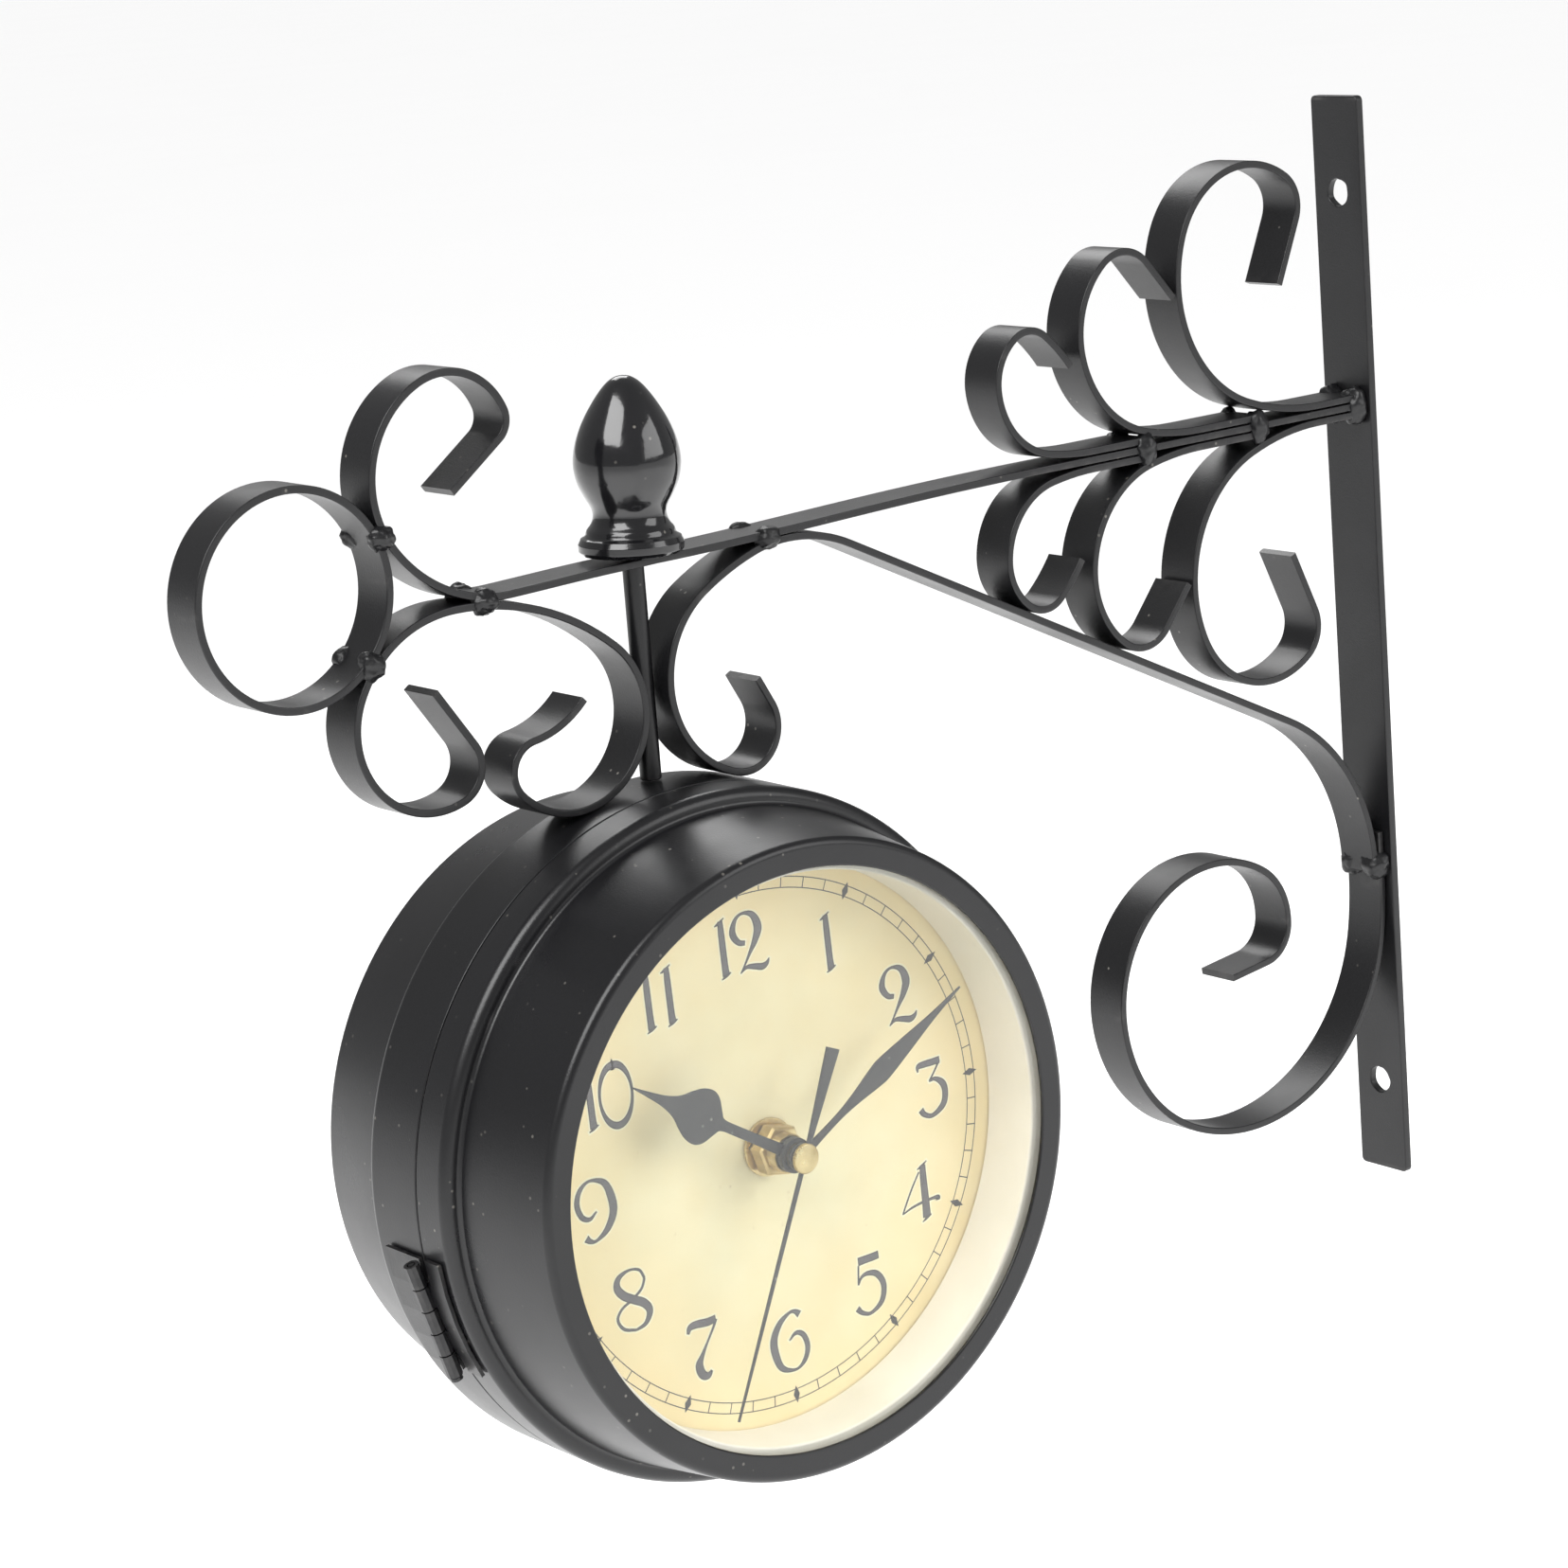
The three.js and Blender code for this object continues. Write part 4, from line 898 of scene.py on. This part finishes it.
SEVEN = [
    [(-3.9, 4.4, 0.35), (-3.2, 5.6, 0.7), (-1.5, 5.75, 0.82), (1.0, 5.4, 0.85), (3.2, 5.5, 0.8)],
    [(3.2, 5.4, 0.4), (2.4, 3.9, 0.3), (0.6, 1.4, 0.28), (-1.0, -0.9, 0.5), (-2.1, -2.8, 0.95),
     (-1.6, -4.9, 0.95), (-0.3, -5.6, 0.75), (0.8, -4.8, 0.3)],
]
EIGHT = [
    [(2.6, 3.8, 0.3), (1.6, 5.8, 0.3), (-0.8, 6.5, 0.28), (-3.4, 5.7, 0.6), (-4.1, 3.8, 0.85),
     (-2.8, 1.8, 0.9), (-0.6, 0.3, 0.9), (1.8, -1.2, 0.9), (2.9, -3.2, 0.8), (1.6, -5.4, 0.5),
     (-0.8, -6.05, 0.28)],
    [(-0.8, -6.05, 0.28), (-3.6, -5.0, 0.35), (-4.85, -2.7, 0.33), (-3.6, -0.8, 0.3), (-0.8, 0.4, 0.3),
     (1.6, 1.9, 0.3), (2.6, 3.8, 0.3)],
]
NINE_LEFT = 1.0
NINE = [[(-x - NINE_LEFT, -y, half) for x, y, half in SIX[0]]]
ZERO_WIDE, ZERO_TALL, ZERO_THIN, ZERO_SWELL, ZERO_POINTS = 3.85, 6.2, 0.32, 0.45, 20


def zero():
    """An upright ring that is thick at its top and bottom."""
    loop = []
    for k in range(ZERO_POINTS + 1):
        angle = 2 * math.pi * k / ZERO_POINTS
        half = ZERO_THIN + ZERO_SWELL * math.cos(angle) ** 2
        loop.append((ZERO_WIDE * math.sin(angle), ZERO_TALL * math.cos(angle), half))
    return [loop]


# The signs of each hour from twelve round to eleven, each with its place to the right of the middle.
NUMERALS = [
    [(TWO, 0.6), (ONE, -4.5)],
    [(ONE, 0.2)],
    [(TWO, -0.6)],
    [(THREE, -0.8)],
    [(FOUR, 0)],
    [(FIVE, 0)],
    [(SIX, 0.4)],
    [(SEVEN, 0.4)],
    [(EIGHT, 0.8)],
    [(NINE, 0.4)],
    [(ONE, -3.5), (zero(), 2.3)],
    [(ONE, -2.6), (ONE, 2.5)],
]
NUMERAL_RADIUS = 42.2
TRACK_INNER, TRACK_OUTER, TRACK_LINE, TICK_HALF = 52.3, 54.5, 0.2, 0.11
DIAMOND_LONG, DIAMOND_WIDE = 1.9, 0.78
# Each layer of ink: its height over the dial, and how much wider its strokes are on each side.
HALO_LAYER, DARK_LAYER, GREY_LAYER = (0.01, 0.36), (0.03, 0.0), (0.05, -0.22)
STROKE_LIFT, TICK_LIFT, THINNEST = 0.0002, 0.004, 0.02


def stroke(points, wider):
    """The two sides of one brush stroke, made wider all round by a margin."""
    line = smooth_outline(points, 5)
    last = len(line) - 1
    left, right = [], []
    for i, spot in enumerate(line):
        ahead = line[min(i + 1, last)] - line[max(i - 1, 0)]
        along = Vector((ahead.x, ahead.y)).normalized()
        half = max(THINNEST, spot.z + wider)
        shift = along * (wider if i == last else -wider if i == 0 else 0)
        left.append((spot.x + shift.x - along.y * half, spot.y + shift.y + along.x * half))
        right.append((spot.x + shift.x + along.y * half, spot.y + shift.y - along.x * half))
    return left, right


def print_numerals(ink, height, wider):
    """Adds all the numerals to a layer of ink. Each stroke lies a trace over the one before."""
    depth = DIAL_FACE + height
    for hour, signs in enumerate(NUMERALS):
        angle = math.radians(30 * hour)
        middle = (NUMERAL_RADIUS * math.sin(angle), NUMERAL_RADIUS * math.cos(angle))
        for strokes, aside in signs:
            for points in strokes:
                left, right = stroke(points, wider)
                spots = [(middle[0] + aside + x, -depth, middle[1] + z) for x, z in left + right]
                count = len(left)
                faces = [(k, k + 1, count + k + 1, count + k) for k in range(count - 1)]
                ink.add(spots, faces)
                depth += STROKE_LIFT


def printed_line(ink, radius, height, segments=180):
    """A thin printed circle."""
    points = []
    for k in range(segments):
        angle = 2 * math.pi * k / segments
        for reach in (radius - TRACK_LINE / 2, radius + TRACK_LINE / 2):
            points.append((reach * math.sin(angle), -(DIAL_FACE + height), reach * math.cos(angle)))
    ink.add(points, side_faces(segments, 2, True, False))


def print_track(ink, height):
    """The double line round the minutes, its sixty ticks and a diamond at each hour."""
    printed_line(ink, TRACK_INNER, height)
    printed_line(ink, TRACK_OUTER, height)
    middle = (TRACK_INNER + TRACK_OUTER) / 2
    half = (TRACK_OUTER - TRACK_INNER) / 2
    tick = [(-half, -TICK_HALF), (-half, TICK_HALF), (half, TICK_HALF), (half, -TICK_HALF)]
    diamond = [(-DIAMOND_LONG, 0), (0, DIAMOND_WIDE), (DIAMOND_LONG, 0), (0, -DIAMOND_WIDE)]
    for minute in range(60):
        angle = math.radians(6 * minute)
        along = Vector((math.sin(angle), math.cos(angle)))
        across = Vector((math.cos(angle), -math.sin(angle)))
        spots = []
        for out, aside in diamond if minute % 5 == 0 else tick:
            spot = along * (middle + out) + across * aside
            spots.append((spot.x, -(DIAL_FACE + height + TICK_LIFT), spot.y))
        ink.add(spots, [(0, 1, 2, 3)])


def dial_print(side):
    """The three layers of ink: a pale halo, the dark outline and marks, and the grey of the numerals."""
    place = PLACE[side] @ Matrix.Rotation(math.radians(-PRINT_TILT), 4, "Y")
    layers = {
        "halo": (HALO_LAYER, PRINT_HALO),
        "dark": (DARK_LAYER, PRINT_DARK),
        "grey": (GREY_LAYER, PRINT_GREY),
    }
    for name, ((height, wider), paint) in layers.items():
        ink = Gathered()
        print_numerals(ink, height, wider)
        if name == "dark":
            print_track(ink, height)
        piece(f"{side}_print_{name}", ink.points, ink.faces, paint, BODY[side], place=place)


# ---------------- bush, washer and nut
BUSH_RADIUS, BUSH_BORE, BUSH_BACK, BUSH_FRONT = 4.0, 2.9, 20.0, 29.55
THREAD_START, THREAD_PITCH, THREAD_DEEP, BUSH_CHAMFER = 20.2, 0.6, 0.22, 0.3
BUSH_PLAY = 0.1
WASHER_RADIUS, WASHER_BACK, WASHER_FRONT = 6.0, 22.0, 22.7
NUT_ACROSS, NUT_BACK, NUT_FRONT, NUT_CHAMFER, NUT_TURN = 9.6, 23.05, 26.95, 0.5, 12


def threaded_bush(side):
    """The thread on the movement's bush, as even ridges."""
    groove = BUSH_RADIUS - THREAD_DEEP
    profile = [(BUSH_BORE, BUSH_BACK), (groove, BUSH_BACK)]
    depth = THREAD_START
    while depth < BUSH_FRONT - THREAD_PITCH:
        profile.append((BUSH_RADIUS, depth + THREAD_PITCH / 2))
        profile.append((groove, depth + THREAD_PITCH))
        depth += THREAD_PITCH
    profile += [(BUSH_RADIUS - BUSH_CHAMFER, BUSH_FRONT), (BUSH_BORE, BUSH_FRONT)]
    points, faces = turned(profile, 64)
    piece(f"{side}_thread", points, faces, BRASS, BODY[side], sharp=20, place=PLACE[side])


def dial_fixing(side):
    """Washer and chamfered hex nut on the bush."""
    bore = BUSH_RADIUS + BUSH_PLAY
    points, faces = flat_washer(bore, WASHER_RADIUS, WASHER_BACK, WASHER_FRONT, 0.15, 96)
    washer = [f"{side}_dial_washer"]
    piece(f"{side}_washer_turned", points, faces, BRASS, BODY[side], washer, place=PLACE[side])
    corner = NUT_ACROSS / 2 / math.cos(math.pi / 6)
    profile = [
        (bore, NUT_BACK),
        (corner - NUT_CHAMFER, NUT_BACK),
        (corner, NUT_BACK + NUT_CHAMFER),
        (corner, NUT_FRONT - NUT_CHAMFER),
        (corner - NUT_CHAMFER, NUT_FRONT),
        (bore, NUT_FRONT),
    ]
    points, faces = turned(profile, 6)
    place = PLACE[side] @ Matrix.Rotation(math.radians(NUT_TURN), 4, "Y")
    piece(f"{side}_nut_chamfered", points, faces, BRASS, BODY[side], [f"{side}_hex_nut"], place=place)


# ---------------- hands
# Half of each hand's outline: half width, and share of the hand's reach.
HOUR_SHAPE = [
    (1.3, 0.05), (1.1, 0.2), (1.05, 0.36), (1.2, 0.45), (2.4, 0.48), (4.6, 0.52), (5.6, 0.565),
    (5.3, 0.62), (4, 0.675), (2.2, 0.735), (1.1, 0.815), (0.5, 0.92), (0.16, 1),
]
MINUTE_SHAPE = [
    (1.0, 0.04), (0.8, 0.14), (0.8, 0.24), (1.3, 0.34), (2.3, 0.46), (2.5, 0.52), (1.75, 0.66),
    (0.8, 0.82), (0.16, 1),
]
SECOND_SHAPE = [(1.7, -0.42), (1.15, -0.24), (0.6, -0.05), (0.55, 0.05), (0.42, 0.5), (0.25, 1)]
HOUR_REACH, MINUTE_REACH, SECOND_REACH = 43.5, 50.0, 53.5
HOUR_BLADE, MINUTE_BLADE, SECOND_BLADE = (30.15, 30.65), (32.65, 33.15), (33.95, 34.4)
HAND_EDGE, SECOND_EDGE = 0.1, 0.08
# Each collar: bore, radius, back and front.
HOUR_COLLAR, MINUTE_COLLAR = (2.5, 3.6, 29.85, 31.45), (1.45, 2.9, 32.45, 33.35)
CAP_RADIUS, CAP_BACK, CAP_FRONT, CAP_TEETH, KNURL = 3.1, 33.95, 34.85, 36, 0.955


def hand(side, name, shape, reach, blade, angle, edge):
    """A stamped hand with soft edges, turned to its place on the dial."""
    back, front = blade
    right = smooth_outline([(half, share * reach) for half, share in shape], 5)
    outline = [tuple(spot) for spot in right] + [(-spot.x, spot.y) for spot in reversed(right)]
    points, faces = stamped(outline, -front, -back, edge)
    place = PLACE[side] @ Matrix.Rotation(math.radians(angle - DIAL_TILT), 4, "Y")
    node = [f"{side}_{name}_hand"]
    piece(f"{side}_{name}_blade", points, faces, HAND_PAINT, f"{side}_{name}", node, place=place)


def collar(side, name, size):
    """The collar by which a hand is pressed on."""
    points, faces = flat_washer(*size, 0.12, 64)
    piece(f"{side}_{name}_collar", points, faces, HAND_PAINT, f"{side}_{name}", place=PLACE[side])


def second_cap(side):
    """The knurled brass cap in the middle of the second hand."""
    corners = [(0, CAP_FRONT), (CAP_RADIUS, CAP_FRONT, 0.3), (CAP_RADIUS, CAP_BACK, 0.1), (0, CAP_BACK)]
    profile = fillet(corners, 3)
    points, faces = turned(profile, CAP_TEETH * 4, closed=False)
    inside = CAP_RADIUS * 0.8
    shaped = []
    for i, (x, y, z) in enumerate(points):
        tooth = (i // len(profile)) % 4 < 2
        share = 1.0 if tooth or math.hypot(x, z) < inside else KNURL
        shaped.append((x * share, y, z * share))
    piece(f"{side}_second_cap", shaped, faces, BRASS, f"{side}_second", place=PLACE[side])


def hands(side):
    """Hour, minute and second hands at the time shown."""
    second_angle = SECONDS * 6
    minute_angle = (MINUTES + SECONDS / 60) * 6
    hour_angle = HOURS * 30 + minute_angle / 12
    hand(side, "hour", HOUR_SHAPE, HOUR_REACH, HOUR_BLADE, hour_angle, HAND_EDGE)
    hand(side, "minute", MINUTE_SHAPE, MINUTE_REACH, MINUTE_BLADE, minute_angle, HAND_EDGE)
    hand(side, "second", SECOND_SHAPE, SECOND_REACH, SECOND_BLADE, second_angle, SECOND_EDGE)
    collar(side, "hour", HOUR_COLLAR)
    collar(side, "minute", MINUTE_COLLAR)
    second_cap(side)


# ---------------- nodes that keep their own mesh
KEPT_BOTH_SIDES = {
    "dial_clip": ZINC,
    "movement_case": DARK_PLASTIC,
    "battery": BATTERY_SKIN,
    "set_knob": WHITE_PLASTIC,
    "shaft_bush": BRASS,
    "hour_pipe": BRASS,
    "minute_arbor": BRASS,
}
KEPT_ONCE = {
    "hinge_leaf_fixed": STEEL,
    "hinge_leaf_door": STEEL,
    "hinge_pin": STEEL,
    "catch_magnet": DARK_PLASTIC,
    "catch_keeper": ZINC,
}


def paint_kept_nodes():
    paints = {f"{side}_{name}": paint for side in PLACE for name, paint in KEPT_BOTH_SIDES.items()}
    for name, paint in {**paints, **KEPT_ONCE}.items():
        node = frame["nodes"][name]
        node.data.materials.clear()
        node.data.materials.append(paint)


# ---------------- floor, light and camera
FLOOR_AT, FLOOR_WIDE = -300, 30000
WHITE_LIGHT, REFLECTED_LIGHT = 1.06, 0.3
AIM, AZIMUTH, ELEVATION, ROLL, DISTANCE = Vector((-169.2, 0, 1.2)), -36.96, 12.86, -4.47, 900
SENSOR, LENS, SEE_TO = 36, 100.21, 100


def pale_floor():
    half = FLOOR_WIDE / 2
    corners = [(-half, -half), (half, -half), (half, half), (-half, half)]
    mesh = bpy.data.meshes.new("floor")
    mesh.from_pydata([Vector((x, y, FLOOR_AT)) * MM for x, y in corners], [], [(0, 1, 2, 3)])
    mesh.materials.append(FLOOR_PAINT)
    floor = bpy.data.objects.new("floor", mesh)
    bpy.context.scene.collection.objects.link(floor)


def white_studio():
    """White all round, which looks darker in the reflections of glossy surfaces."""
    world = bpy.data.worlds.new("studio")
    bpy.context.scene.world = world
    world.use_nodes = True
    tree = world.node_tree
    white = tree.nodes["Background"]
    dim = tree.nodes.new("ShaderNodeBackground")
    for background, strength in ((white, WHITE_LIGHT), (dim, REFLECTED_LIGHT)):
        background.inputs["Color"].default_value = (1, 1, 1, 1)
        background.inputs["Strength"].default_value = strength
    ray = tree.nodes.new("ShaderNodeLightPath")
    seen = tree.nodes.new("ShaderNodeMixShader")
    tree.links.new(ray.outputs["Is Glossy Ray"], seen.inputs[0])
    tree.links.new(white.outputs[0], seen.inputs[1])
    tree.links.new(dim.outputs[0], seen.inputs[2])
    tree.links.new(seen.outputs[0], tree.nodes["World Output"].inputs["Surface"])


def towards(azimuth, height):
    """The direction from the clock to a place round it, both angles in degrees."""
    turn, rise = math.radians(azimuth), math.radians(height)
    return Vector((math.sin(turn) * math.cos(rise), -math.cos(turn) * math.cos(rise), math.sin(rise)))


def softbox(name, azimuth, height, distance, size, power):
    """A square soft lamp that faces the head of the clock, in metres and watts."""
    lamp = bpy.data.lights.new(name, "AREA")
    lamp.shape = "SQUARE"
    lamp.size = size
    lamp.energy = power
    made = bpy.data.objects.new(name, lamp)
    bpy.context.scene.collection.objects.link(made)
    back = towards(azimuth, height)
    made.location = HEAD * MM + back * distance
    made.rotation_euler = back.to_track_quat("Z", "Y").to_euler()


def camera_at_photo_angle():
    back = towards(AZIMUTH, ELEVATION)
    turn, roll = math.radians(AZIMUTH), math.radians(ROLL)
    level = Vector((math.cos(turn), math.sin(turn), 0))
    up = back.cross(level)
    rolled_right = level * math.cos(roll) + up * math.sin(roll)
    rolled_up = up * math.cos(roll) - level * math.sin(roll)
    lens = bpy.data.cameras.new("camera")
    lens.sensor_width = SENSOR
    lens.lens = LENS
    lens.clip_end = SEE_TO
    camera = bpy.data.objects.new("camera", lens)
    facing = Matrix((rolled_right, rolled_up, back)).transposed().to_4x4()
    camera.matrix_world = Matrix.Translation((AIM + back * DISTANCE) * MM) @ facing
    bpy.context.scene.collection.objects.link(camera)
    bpy.context.scene.camera = camera


# ---------------- putting it together
bent_strips()
end_ring()
wall_plate()
weld_beads()
hanger_rod()
finial()
for side in PLACE:
    case_half(side)
    glass_disc(side)
    reveal_card(side)
    dial_sheet(side)
    dial_print(side)
    threaded_bush(side)
    dial_fixing(side)
    hands(side)
paint_kept_nodes()

pale_floor()
white_studio()
softbox("key softbox", -72, 50, 1.4, 0.9, 17)
softbox("fill softbox", 35, 25, 1.8, 1.0, 9)
softbox("back softbox", 150, 45, 1.6, 0.8, 8)
camera_at_photo_angle()
bpy.context.scene.view_settings.view_transform = "Standard"
